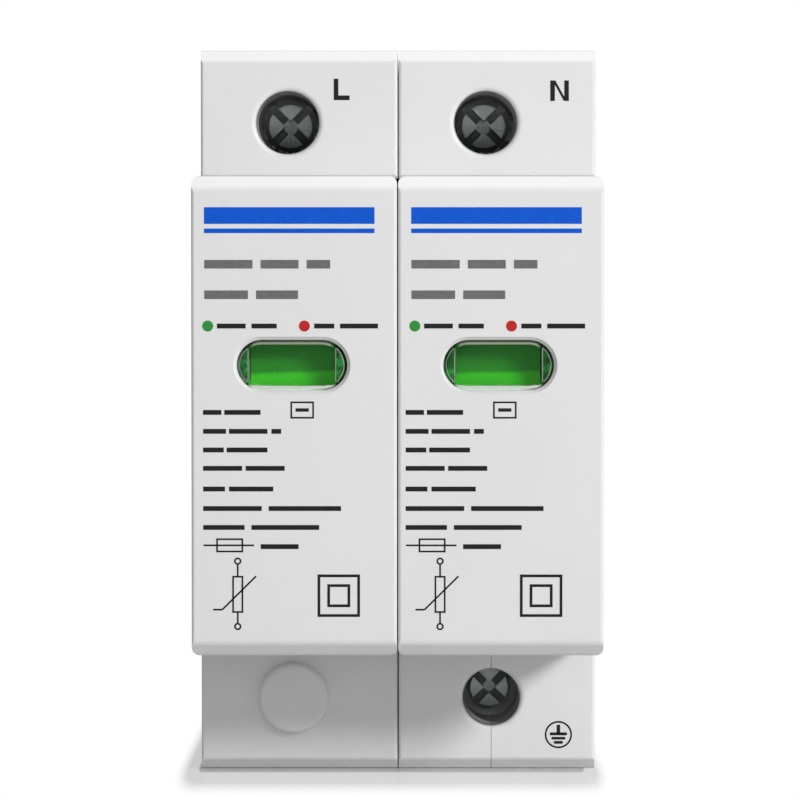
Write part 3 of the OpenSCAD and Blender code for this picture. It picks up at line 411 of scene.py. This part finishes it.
def lens_parts(finish):
    """Masks by place on the lens: its ends with their painted shade, the painted highlights of its foot,
    crown, arcs and sides, and the painted shade of the dark gap round it.
    """
    across, up, inwards = beside_window(finish)
    flat_x, flat_z = LENS_FLAT
    wander = (finish.noise(1.1, detail=2.0) - 0.5) * ARC_WANDER

    def long_line(line, half, cut):
        """A line in the lower or upper half of the lens, cut at a slant where its ends are."""
        slant, start, end = cut
        along = (inwards + wander * LINE_WANDER).between(*line) * up.ramp(-half, half)
        return along * (abs(across) + inwards * slant).ramp(start, end)

    past_flat = abs(across).ramp(*(flat_x + x for x in ENDS_RAMP))
    level = abs(up).ramp(*(flat_z + z for z in LEVEL_RAMP))
    foot = long_line(LENS_FOOT, -HALVES_MEET, FOOT_CUT)
    crown = long_line(LENS_CROWN, HALVES_MEET, CROWN_CUT)
    arcs = (inwards + wander).between(*LENS_ARCS) * past_flat * level
    start, end, soft = LENS_SIDES
    sides = abs(across).between(flat_x + start, flat_x + end, soft) * level
    ends = past_flat * level * inwards.ramp(*ENDS_INWARDS)
    gap = (inwards.ramp(*GAP_INWARDS) * up.ramp(*GAP_UP) + past_flat * (1 - level)).least(1.0)
    return past_flat, ends, foot, crown, arcs, sides, gap


def clear_lens():
    """Clear moulded lens with a raised flat, with painted highlights along its edges, painted shade in the
    gap round it and painted green light in its ends.
    """
    finish = Finish("lens_clear", LENS_CLEAR, 0.03, IOR=1.12, Transmission_Weight=1.0)
    waves = finish.noise(2.2, detail=1.5)
    finish.set("Roughness", 0.02 + waves.ramp(0.4, 0.8) * 0.03)
    finish.bump(waves, 0.004)
    past_flat, ends, foot, crown, arcs, sides, gap = lens_parts(finish)
    # Painted shade: the dark gap round the lens, over the clear body and its green-tinted ends
    finish.set("Base Color", finish.blend(gap, finish.blend(past_flat, LENS_CLEAR, LENS_GREEN), LENS_GAP))
    # Painted green light in the ends, in dark greens with lighter patches, and the pale of the painted
    # highlights
    painted_green_light = finish.blend(finish.noise(0.9, detail=2.0).ramp(*SHINE_RAMP), *END_GREENS)
    pale = finish.blend(foot.most(arcs).most(sides), *LINE_PALES)
    lines = (foot * FOOT_SHOWS).most(crown * CROWN_SHOWS).most(arcs * ARCS_SHOW).most(sides * SIDES_SHOW)
    painted = finish.add("BsdfPrincipled", {}, {
        "Base Color": finish.blend(lines.ramp(*PALE_RAMP), painted_green_light, pale),
        "Roughness": 0.3,
        "Specular IOR Level": 0.15,
    })
    rimmed = finish.add("MixShader", {}, [lines.most(ends * ENDS_SHOW), finish.surface, painted])
    passing = finish.add("BsdfTransparent", {}, {"Color": (*LENS_SHADE, 1.0)})
    finish.show(finish.seen_by("Shadow"), rimmed, passing)
    return finish


def flag_plastic(name):
    """Translucent green of the status flag: painted shade above and painted light in its lower third, which
    also glows by emission.
    """
    finish = Finish(name, FLAG_GREEN, 0.5, Specular_IOR_Level=0.1, Emission_Strength=0.35)
    across, up, _ = beside_window(finish)
    waves = (finish.noise(3.0, detail=2.0) - 0.5) * FLAG_WAVES
    painted_green_light = (up + waves - across * FLAG_SLOPE).ramp(*BRIGHT_RAMP)
    deep = finish.blend((up + waves).ramp(*DEEP_RAMP), *FLAG_DEEPS)
    flag_lit_and_shaded_green = finish.blend(painted_green_light, deep, FLAG_BRIGHT)
    # The painted light and shade are also the colour of the flag's glow
    finish.set("Base Color", flag_lit_and_shaded_green)
    finish.set("Emission Color", flag_lit_and_shaded_green)
    finish.set("Roughness", 0.45 + waves * 0.2)
    finish.bump(finish.noise(0.3), 0.003)
    return finish


def epoxy(name, colour):
    """Dipped coat of the varistor: thick, glossy and slightly lumpy."""
    finish = Finish(name, colour, 0.28, Coat_Weight=0.5)
    lumps = finish.noise(3.5, detail=2.0)
    specks = finish.noise(0.3, detail=2.0)
    finish.set("Base Color", finish.blend(specks, shade(colour, 0.85), shade(colour, 1.15)))
    finish.set("Roughness", 0.22 + lumps * 0.16)
    finish.bump(lumps, 0.15)
    return finish


housing = moulded("housing_white", (0.79, 0.79, 0.79), 0.46)
# Painted shade in the driver holes: the mouth's dark colour and the paler one deeper in
painted_hole_shade(housing, (0.22, 0.22, 0.221), (0.5, 0.5, 0.503))
module_plastic = moulded("module_white", (0.79, 0.79, 0.79), 0.44)
inner_grey = moulded("inner_grey", (0.5, 0.51, 0.53), 0.5)
latch_plastic = moulded("latch_grey", (0.36, 0.37, 0.39), 0.45)
green = flag_plastic("flag_green")
red = moulded("lever_red", (0.5, 0.02, 0.015), 0.4, 0.3, 0.003)
plug_plastic = moulded("plug_white", (0.79, 0.79, 0.79), 0.4, 0.12, 0.002)
screw_steel = screw_steel_with_painted_light("screw_steel", (0.2, 0.216, 0.21), 0.4)
plated_steel = metal("plated_steel", (0.52, 0.53, 0.54), 0.36, grain=(1, 1, 0.2))
bright_steel = metal("bright_steel", (0.62, 0.62, 0.63), 0.27, grain=(0.3, 1, 1))
copper = metal("copper", (0.74, 0.38, 0.22), 0.3, grain=(1, 0.15, 1))
brass = metal("brass_strip", (0.70, 0.53, 0.24), 0.3, grain=(1, 1, 0.15))
solder = metal("solder", (0.58, 0.59, 0.6), 0.4, grain_size=0.5)
lens = clear_lens()
varistor_coat = epoxy("varistor_blue", (0.03, 0.09, 0.30))

FINISH_OF = {
    "base_case": housing, "base_cover": housing, "blank_plug": plug_plastic, "pole_rivets": bright_steel,
    "rail_latch": latch_plastic, "latch_spring": bright_steel, "line_contact": copper,
    "earth_contact": copper, "earth_link": copper, "contact_clips": bright_steel, "cage": plated_steel,
    "screw": screw_steel, "module_case": module_plastic, "module_chassis": inner_grey, "window_lens": lens,
    "status_flag": green, "trip_lever": red, "contact_arm": brass, "pivot_pin": bright_steel,
    "trip_spring": bright_steel, "flex_lead": copper, "solder_bead": solder, "varistor": varistor_coat,
    "earth_electrode": copper, "line_electrode": copper, "line_blade": copper,
}
PLACE_ENDINGS = ("_PE", "_L", "_N")


def kind_of(node):
    """A node's name without its pole."""
    for ending in PLACE_ENDINGS:
        node = node.removesuffix(ending)
    return node


for node_name, node_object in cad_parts.items():
    node_object.data.materials.clear()
    node_object.data.materials.append(FINISH_OF[kind_of(node_name)].material)


# Springs and leads whose two ends stay on two bodies: the still one, the moving one, the axis between
# the ends, whether the still end is the high one, and the finish's slot
BENDING = {
    "latch_spring": ("base", "latch_", 2, False, "bright_steel"),
    "trip_spring": ("module_", "trip_", 1, True, "bright_steel"),
    "flex_lead": ("module_", "trip_", 1, True, "copper"),
}


def bending_copies(pole):
    """Copies of one pole's springs and lead, in place of the solids."""
    for kind, (still, moving, axis, high_end, slot) in BENDING.items():
        node = kind + "_" + pole
        piece = add_object("bending_" + node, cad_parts[node].data.copy())
        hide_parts(node)
        ends = [list(corner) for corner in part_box(node)]
        for end in ends:
            end[:] = [value if k == axis else 0.0 for k, value in enumerate(end)]
        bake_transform(piece)


for pole_name in POLES:
    bending_copies(pole_name)


# Print on the fronts: flat shapes with a thin body of ink, which stands out and is sunk in a little
INK_HEIGHT = 0.012
INK_ROOT = 0.004


class FrontPrint:
    """Shapes of one ink on a plane that faces the front, placed in millimetres from a middle."""

    def __init__(self, name, face_y, middle_x, finish, body, slot):
        self.name = name
        self.face_y = face_y
        self.middle_x = middle_x
        self.finish = finish
        self.body = body
        self.slot = slot
        self.mesh = bmesh.new()

    def prism(self, outline):
        """A closed shape from its outline in X and Z, anticlockwise as seen from the front."""
        back, front = self.face_y + INK_ROOT, self.face_y - INK_HEIGHT
        rings = [
            [self.mesh.verts.new(point(self.middle_x + x, y, z)) for x, z in outline] for y in (front, back)
        ]
        self.mesh.faces.new(rings[0])
        self.mesh.faces.new(rings[1][::-1])
        count = len(outline)
        for i in range(count):
            j = (i + 1) % count
            self.mesh.faces.new((rings[0][j], rings[0][i], rings[1][i], rings[1][j]))

    def band(self, outer, inner):
        """A closed ring between two outlines that have the same number of points."""
        count = len(outer)
        for i in range(count):
            j = (i + 1) % count
            self.prism([outer[i], outer[j], inner[j], inner[i]])

    def bar(self, x0, x1, z0, z1, r=0.0):
        """A filled rectangle, with round corners where it has a radius."""
        self.prism(rounded(x0, x1, z0, z1, r))

    def line(self, start, end, width):
        """A straight stroke."""
        a, b = Vector(start), Vector(end)
        along = (b - a).normalized() * width / 2
        across = Vector((-along.y, along.x))
        self.prism([a - across, b - across, b + across, a + across])

    def frame(self, x0, x1, z0, z1, width):
        """A rectangle's outline."""
        outer = [(x0, z0), (x1, z0), (x1, z1), (x0, z1)]
        inner = [(x0 + width, z0 + width), (x1 - width, z0 + width),
                 (x1 - width, z1 - width), (x0 + width, z1 - width)]
        self.band(outer, inner)

    def ring(self, x, z, r, width):
        """A circle's outline."""
        self.band(circle(x, z, r), circle(x, z, r - width))

    def disc(self, x, z, r):
        """A filled circle."""
        self.prism(circle(x, z, r))

    def press(self):
        """Makes the object, which rides on its body."""
        bmesh.ops.remove_doubles(self.mesh, verts=self.mesh.verts, dist=1e-9)
        bmesh.ops.recalc_face_normals(self.mesh, faces=self.mesh.faces)
        piece = add_mesh(self.name, self.mesh, self.finish)
        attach(piece, self.body)


def circle(x, z, r, steps=48):
    """Points of a circle, anticlockwise."""
    turns = [2 * math.pi * i / steps for i in range(steps)]
    return [(x + r * math.cos(a), z + r * math.sin(a)) for a in turns]


def rounded(x0, x1, z0, z1, r, steps=6):
    """Points of a rectangle with round corners, anticlockwise."""
    if r <= 0:
        return [(x0, z0), (x1, z0), (x1, z1), (x0, z1)]
    corners = ((x1 - r, z0 + r, -90), (x1 - r, z1 - r, 0), (x0 + r, z1 - r, 90), (x0 + r, z0 + r, 180))
    points = []
    for x, z, start in corners:
        turns = [math.radians(start + 90 * i / steps) for i in range(steps + 1)]
        points += [(x + r * math.cos(turn), z + r * math.sin(turn)) for turn in turns]
    return points


def add_mesh(name, mesh, finish):
    """An object from a bmesh, with one material."""
    data = bpy.data.meshes.new(name)
    mesh.to_mesh(data)
    mesh.free()
    data.materials.append(finish.material)
    return add_object(name, data)


blue_ink = ink("ink_blue", (0.0, 0.10, 0.66))
grey_ink = ink("ink_grey", (0.16, 0.16, 0.165))
black_ink = ink("ink_black", (0.012, 0.012, 0.013))
green_ink = ink("ink_green", (0.03, 0.30, 0.05))
red_ink = ink("ink_red", (0.55, 0.02, 0.02))

# Print of a module, in millimetres from its middle and from the rail's centre line
TEXT_LEFT = -8.1
TEXT_SHIFT = {"L": 0.18, "N": -0.2}
STROKE = 0.15
BLUE_BAND = (-7.82, 7.0, 16.75, 18.2)
BLUE_RULE = (-7.82, 7.0, 15.95, 16.35)
GREY_ROWS = ((13.25, ((-7.8, -3.6), (-2.9, 0.4), (1.1, 3.15))), (10.6, ((-7.8, -4.0), (-3.3, 0.35))))
GREY_ROW_H = 0.75
LEGEND_Z = 7.88
LEGEND_BARS = ((-6.7, -4.2), (-3.7, -1.5), (1.75, 3.5), (4.0, 7.3))
LEGEND_DOTS = {"green": (-7.5, green_ink), "red": (0.9, red_ink)}
DOT_R = 0.48

# Rows of bars and the symbols, in millimetres from the left edge of the text
ROW_H = 0.42
ROWS = (
    (0.37, ((0.0, 1.6), (1.85, 5.0))),
    (-1.28, ((0.0, 2.0), (2.25, 5.6), (5.95, 6.8))),
    (-2.9, ((0.0, 1.8), (2.05, 5.6))),
    (-4.5, ((0.0, 3.4), (3.7, 7.1))),
    (-6.3, ((0.0, 1.9), (2.25, 6.1))),
    (-8.0, ((0.0, 5.1), (5.7, 12.0))),
    (-9.65, ((0.0, 3.6), (4.2, 10.1))),
    (-11.32, ((5.0, 8.3),)),
)
BADGE = (7.6, 9.65, -0.17, 1.32)
BADGE_BAR = (8.05, 9.2, 0.43, 0.73)
FUSE_X = (0.03, 1.13, 3.48, 4.43)
FUSE_Z = (-11.82, -11.21, -10.6)
VARISTOR_X = 3.0
VARISTOR_W = 0.96
VARISTOR_Z = (-17.1, -13.87)
TERMINAL_Z = (-18.29, -12.59)
TERMINAL_R = 0.32
SLASH = ((0.85, -16.82), (1.65, -16.82), (4.6, -13.9))
SQUARE_MIDDLE = (11.8, -15.6)
SQUARE_SIZES = (3.7, 2.0)
SQUARE_STROKE = 0.24

# Letters and the earth symbol on the shoulders, from the middle of their pole. The ends of the N's diagonal
# are so many strokes wide and high, and the earth's bars have corners of that share of their height
LETTER_L = (3.15, 4.59, 28.24, 30.18)
LETTER_N = (4.83, 6.52, 28.16, 30.02)
LETTER_STROKE = 0.42
DIAGONAL_END = (1.1, 0.9)
EARTH_MIDDLE = (5.64, -29.61)
EARTH_R = 1.25
EARTH_STROKE = 0.16
EARTH_STEM = (0.9, 0.1, 0.32)
EARTH_BARS = ((0.07, 0.8, 0.27), (-0.33, 0.65, 0.24), (-0.71, 0.42, 0.26))
EARTH_BAR_ROUND = 0.45


def open_tree(name, sizes, material):
    """A tree of geometry nodes with named inputs for its sizes and its material, and its two ends."""
    tree = bpy.data.node_groups.new(name, "GeometryNodeTree")
    tree.interface.new_socket("Geometry", in_out="INPUT", socket_type="NodeSocketGeometry")
    for size in sizes:
        tree.interface.new_socket(size, in_out="INPUT", socket_type="NodeSocketFloat")
    tree.interface.new_socket(material, in_out="INPUT", socket_type="NodeSocketMaterial")
    tree.interface.new_socket("Geometry", in_out="OUTPUT", socket_type="NodeSocketGeometry")
    return tree, tree.nodes.new("NodeGroupInput").outputs, tree.nodes.new("NodeGroupOutput").inputs


def close_tree(tree, shape, material, output, links):
    """Adds the links, and ends the tree in real meshes of one material."""
    realise = tree.nodes.new("GeometryNodeRealizeInstances")
    paint = tree.nodes.new("GeometryNodeSetMaterial")
    ending = (
        (shape, realise.inputs[0]), (realise.outputs[0], paint.inputs["Geometry"]),
        (material, paint.inputs["Material"]), (paint.outputs[0], output),
    )
    for start, end in links + ending:
        tree.links.new(start, end)
    return tree


def bar_tree():
    """Geometry nodes that put a bar of ink on each point, as long and high as the point's size says."""
    tree, inputs, outputs = open_tree("ink_bars", ("Ink height",), "Ink")
    make = tree.nodes.new
    size = make("GeometryNodeInputNamedAttribute")
    size.data_type = "FLOAT_VECTOR"
    size.inputs["Name"].default_value = "size"
    cube, cube_size = make("GeometryNodeMeshCube"), make("ShaderNodeCombineXYZ")
    cube_size.inputs["X"].default_value = 1.0
    cube_size.inputs["Z"].default_value = 1.0
    place = make("GeometryNodeInstanceOnPoints")
    return close_tree(tree, place.outputs[0], inputs["Ink"], outputs[0], (
        (inputs["Ink height"], cube_size.inputs["Y"]), (cube_size.outputs[0], cube.inputs["Size"]),
        (inputs["Geometry"], place.inputs["Points"]), (cube.outputs["Mesh"], place.inputs["Instance"]),
        (size.outputs["Attribute"], place.inputs["Scale"]),
    ))


ink_bars = bar_tree()


def grown(name, source, tree, values):
    """A plain mesh from geometry nodes on a source mesh, with the tree's inputs set by their names."""
    carrier = add_object(name, source)
    modifier = carrier.modifiers.new("grow", "NODES")
    modifier.node_group = tree
    for item in tree.interface.items_tree:
        if item.in_out == "INPUT" and item.name in values:
            modifier[item.identifier] = values[item.name]
    bpy.context.view_layer.update()
    evaluated = carrier.evaluated_get(bpy.context.evaluated_depsgraph_get())
    mesh = bpy.data.meshes.new_from_object(evaluated)
    bpy.data.objects.remove(carrier)
    return add_object(name, mesh)


def ink_rows(name, pole, rows, height, left, finish):
    """Rows of plain bars of ink on a module's front."""
    depth = INK_HEIGHT + INK_ROOT
    middle_y = MODULE_FRONT + (INK_ROOT - INK_HEIGHT) / 2
    spans = [(z, x0, x1) for z, pairs in rows for x0, x1 in pairs]
    source = bpy.data.meshes.new(name + "_points")
    middles = [point(POLES[pole] + left + (x0 + x1) / 2, middle_y, z) for z, x0, x1 in spans]
    source.from_pydata(middles, [], [])
    sizes = source.attributes.new("size", "FLOAT_VECTOR", "POINT")
    for i, (_, x0, x1) in enumerate(spans):
        sizes.data[i].vector = ((x1 - x0) * MM, 1.0, height * MM)
    piece = grown(name, source, ink_bars, {"Ink height": depth * MM, "Ink": finish.material})
    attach(piece, "module_" + pole)


def module_print(pole):
    """Blue field, grey and black bars, and the generic symbols of one module."""
    body, middle_x, left = "module_" + pole, POLES[pole], TEXT_LEFT + TEXT_SHIFT[pole]
    blue = FrontPrint("print_blue_" + pole, MODULE_FRONT, middle_x, blue_ink, body, "housing_white")
    blue.bar(*BLUE_BAND)
    blue.bar(*BLUE_RULE)
    blue.press()
    for colour, (x, dot_ink) in LEGEND_DOTS.items():
        name = "print_%s_dot_%s" % (colour, pole)
        dot = FrontPrint(name, MODULE_FRONT, middle_x, dot_ink, body, "housing_white")
        dot.disc(x, LEGEND_Z, DOT_R)
        dot.press()
    ink_rows("print_grey_rows_" + pole, pole, GREY_ROWS, GREY_ROW_H, 0.0, grey_ink)
    ink_rows("print_legend_" + pole, pole, ((LEGEND_Z, LEGEND_BARS),), ROW_H, 0.0, black_ink)
    ink_rows("print_rows_" + pole, pole, ROWS, ROW_H, left, black_ink)
    name = "print_symbols_" + pole
    marks = FrontPrint(name, MODULE_FRONT, middle_x + left, black_ink, body, "housing_white")
    marks.frame(*BADGE, STROKE)
    marks.bar(*BADGE_BAR)
    low, middle, high = FUSE_Z
    marks.frame(FUSE_X[1], FUSE_X[2], low, high, STROKE)
    marks.line((FUSE_X[0], middle), (FUSE_X[3], middle), STROKE)
    marks.frame(VARISTOR_X - VARISTOR_W / 2, VARISTOR_X + VARISTOR_W / 2, *VARISTOR_Z, STROKE)
    for end, terminal in zip(VARISTOR_Z, TERMINAL_Z):
        toward = math.copysign(TERMINAL_R, end - terminal)
        marks.ring(VARISTOR_X, terminal, TERMINAL_R, STROKE)
        marks.line((VARISTOR_X, terminal + toward), (VARISTOR_X, end), STROKE)
    marks.line(SLASH[0], SLASH[1], STROKE)
    marks.line(SLASH[1], SLASH[2], STROKE)
    x, z = SQUARE_MIDDLE
    for size in SQUARE_SIZES:
        marks.frame(x - size / 2, x + size / 2, z - size / 2, z + size / 2, SQUARE_STROKE)
    marks.press()


def shoulder_print():
    """The letters L and N over the line terminals and the earth symbol beside the earth terminal."""
    w = LETTER_STROKE
    x0, x1, z0, z1 = LETTER_L
    letter = FrontPrint("letter_L", SHOULDER, POLES["L"], black_ink, "base", "housing_white")
    letter.prism([(x0, z0), (x1, z0), (x1, z0 + w), (x0 + w, z0 + w), (x0 + w, z1), (x0, z1)])
    letter.press()
    x0, x1, z0, z1 = LETTER_N
    letter = FrontPrint("letter_N", SHOULDER, POLES["N"], black_ink, "base", "housing_white")
    letter.bar(x0, x0 + w, z0, z1)
    letter.bar(x1 - w, x1, z0, z1)
    wide, high = (w * share for share in DIAGONAL_END)
    letter.prism([
        (x1 - wide, z0), (x1 - w, z0), (x1 - w, z0 + high),
        (x0 + wide, z1), (x0 + w, z1), (x0 + w, z1 - high),
    ])
    letter.press()
    x, z = EARTH_MIDDLE
    symbol = FrontPrint("earth_symbol", SHOULDER, POLES["N"], black_ink, "base", "housing_white")
    symbol.ring(x, z, EARTH_R, EARTH_STROKE)
    top, foot, width = EARTH_STEM
    symbol.line((x, z + top), (x, z + foot), width)
    for up, half, height in EARTH_BARS:
        r = height * EARTH_BAR_ROUND
        symbol.bar(x - half, x + half, z + up - height / 2, z + up + height / 2, r)
    symbol.press()


for pole_name in POLES:
    module_print(pole_name)
shoulder_print()

# Threads of the terminal screws: diameter and pitch. A thread starts so far before its cage and ends so far
# before its tip. The ridge's radius is a share of the pitch, and the ridge is sunk by a share of its radius
THREADS = {"L": (4.0, 0.7), "N": (4.0, 0.7), "PE": (3.5, 0.6)}
THREAD_FREE = 0.3
RIDGE_SHARE = 0.3
RIDGE_SUNK = 0.45
TURN_STEPS = 24
RIDGE_SIDES = 3


def thread_tree():
    """Geometry nodes that wind a ridge of three sides round a shank that stands on the origin."""
    tree, inputs, outputs = open_tree("screw_thread", ("Turns", "Radius", "Length", "Ridge"), "Steel")
    make = tree.nodes.new
    spiral, ridge = make("GeometryNodeCurveSpiral"), make("GeometryNodeCurvePrimitiveCircle")
    spiral.inputs["Resolution"].default_value = TURN_STEPS
    ridge.inputs["Resolution"].default_value = RIDGE_SIDES
    sweep = make("GeometryNodeCurveToMesh")
    sweep.inputs["Fill Caps"].default_value = True
    return close_tree(tree, sweep.outputs[0], inputs["Steel"], outputs[0], (
        (inputs["Turns"], spiral.inputs["Rotations"]), (inputs["Length"], spiral.inputs["Height"]),
        (inputs["Radius"], spiral.inputs["Start Radius"]), (inputs["Radius"], spiral.inputs["End Radius"]),
        (inputs["Ridge"], ridge.inputs["Radius"]), (spiral.outputs[0], sweep.inputs["Curve"]),
        (ridge.outputs[0], sweep.inputs["Profile Curve"]),
    ))


screw_thread = thread_tree()


def add_thread(place):
    """A ridge round one terminal screw's shank, turned to run along Y."""
    diameter, pitch = THREADS[place]
    low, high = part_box("screw_" + place)
    cage_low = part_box("cage_" + place)[0]
    start, end = cage_low.y / MM - THREAD_FREE, high.y / MM - THREAD_FREE
    ridge = pitch * RIDGE_SHARE
    values = {
        "Turns": (end - start) / pitch, "Radius": (diameter / 2 - ridge * RIDGE_SUNK) * MM,
        "Length": (end - start) * MM, "Ridge": ridge * MM, "Steel": screw_steel.material,
    }
    piece = grown("thread_" + place, bpy.data.meshes.new("empty_" + place), screw_thread, values)
    middle = (low + high) / 2
    piece.data.transform(Matrix.Rotation(-math.pi / 2, 4, "X"))
    piece.data.transform(Matrix.Translation((middle.x, start * MM, middle.z)))
    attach(piece, "screw_" + place)


# Floor: half its side in metres, its grey, and the distances from the foot, in millimetres, between which
# its shadow fades to white. They count for more to the sides and start a little inside the foot's right edge.
# Past shorter distances the shadow is also lifted, by a share of the way to white
FLOOR_SIZE = 3.0
FLOOR_GREY = (0.62, 0.62, 0.62)
SHADOW_REACH = (1.0, 19.0)
SIDE_SHARE = 8.0
LIFT_REACH = (1.0, 3.0)
SHADOW_LIFT = 0.45
RIGHT_INSET = 1.2
WHITE = (1.0, 1.0, 1.0, 1.0)
WORLD_LIGHT = 0.25


def floor_material():
    """Pale floor that keeps the shadow near the object and is plain white far from it."""
    finish = Finish("floor", FLOOR_GREY, 0.25)
    seen = finish.seen_by("Camera").most(finish.seen_by("Glossy")).most(finish.seen_by("Transmission"))
    x0, x1, y1 = cad_low.x / MM, cad_high.x / MM - RIGHT_INSET, cad_high.y / MM
    beside = (abs(finish.x - (x0 + x1) / 2) - (x1 - x0) / 2).most(0.0) * SIDE_SHARE
    before = (abs(finish.y - (SHOULDER + y1) / 2) - (y1 - SHOULDER) / 2).most(0.0)
    far = (beside * beside + before * before).power(0.5).ramp(*SHADOW_REACH)
    far = far.most((before + beside).ramp(*LIFT_REACH) * SHADOW_LIFT)
    finish.show(seen * far, finish.surface, finish.add("Emission", {}, {"Strength": 1.0}))
    return finish


floor_mesh = bmesh.new()
bmesh.ops.create_grid(floor_mesh, x_segments=1, y_segments=1, size=FLOOR_SIZE)
for corner in floor_mesh.verts:
    corner.co.z = FOOT * MM
floor = add_mesh("floor", floor_mesh, floor_material())


def make_world():
    """Even light from all sides, which the camera itself sees as plain white."""
    world = bpy.data.worlds.new("studio")
    world.use_nodes = True
    bpy.context.scene.world = world
    nodes = Nodes(world.node_tree, "World Output")
    lit = world.node_tree.nodes["Background"]
    nodes.join(WHITE, lit.inputs["Color"])
    nodes.join(WORLD_LIGHT, lit.inputs["Strength"])
    white = nodes.add("Background", {}, {"Color": WHITE})
    nodes.show(nodes.seen_by("Camera"), Socket(nodes, lit.outputs[0]), white)


make_world()


def turn_to(thing, place, aim):
    """Puts a lamp or the camera at a place in millimetres, turned to its aim."""
    thing.location = point(*place)
    thing.rotation_mode = "QUATERNION"
    thing.rotation_quaternion = (point(*aim) - point(*place)).to_track_quat("-Z", "Y")


def area_light(name, place, aim, width, height, power):
    """A soft lamp of that size in millimetres and power in watts."""
    data = bpy.data.lights.new(name, "AREA")
    data.shape = "RECTANGLE"
    data.size, data.size_y, data.energy = width * MM, height * MM, power
    turn_to(add_object(name, data), place, aim)


MIDDLE = (0.0, -50.0, 0.0)
area_light("key", (470.0, -520.0, 290.0), MIDDLE, 140, 140, 3.75)
area_light("top", (0.0, 30.0, 500.0), (0.0, -30.0, 30.0), 160, 160, 0.78)
area_light("front", (40.0, -700.0, 120.0), MIDDLE, 160, 160, 0.3)

camera_data = bpy.data.cameras.new("camera")
camera_data.sensor_width = SENSOR_WIDTH
camera_data.lens = SENSOR_WIDTH * PHOTO_FOCAL_SHARE
camera_data.clip_start, camera_data.clip_end = 0.01, 10.0
camera = add_object("camera", camera_data)
turn_to(camera, CAMERA_PLACE, CAMERA_AIM)
bpy.context.scene.camera = camera
bpy.context.scene.view_settings.view_transform = "Standard"

for screw_place in THREADS:
    add_thread(screw_place)
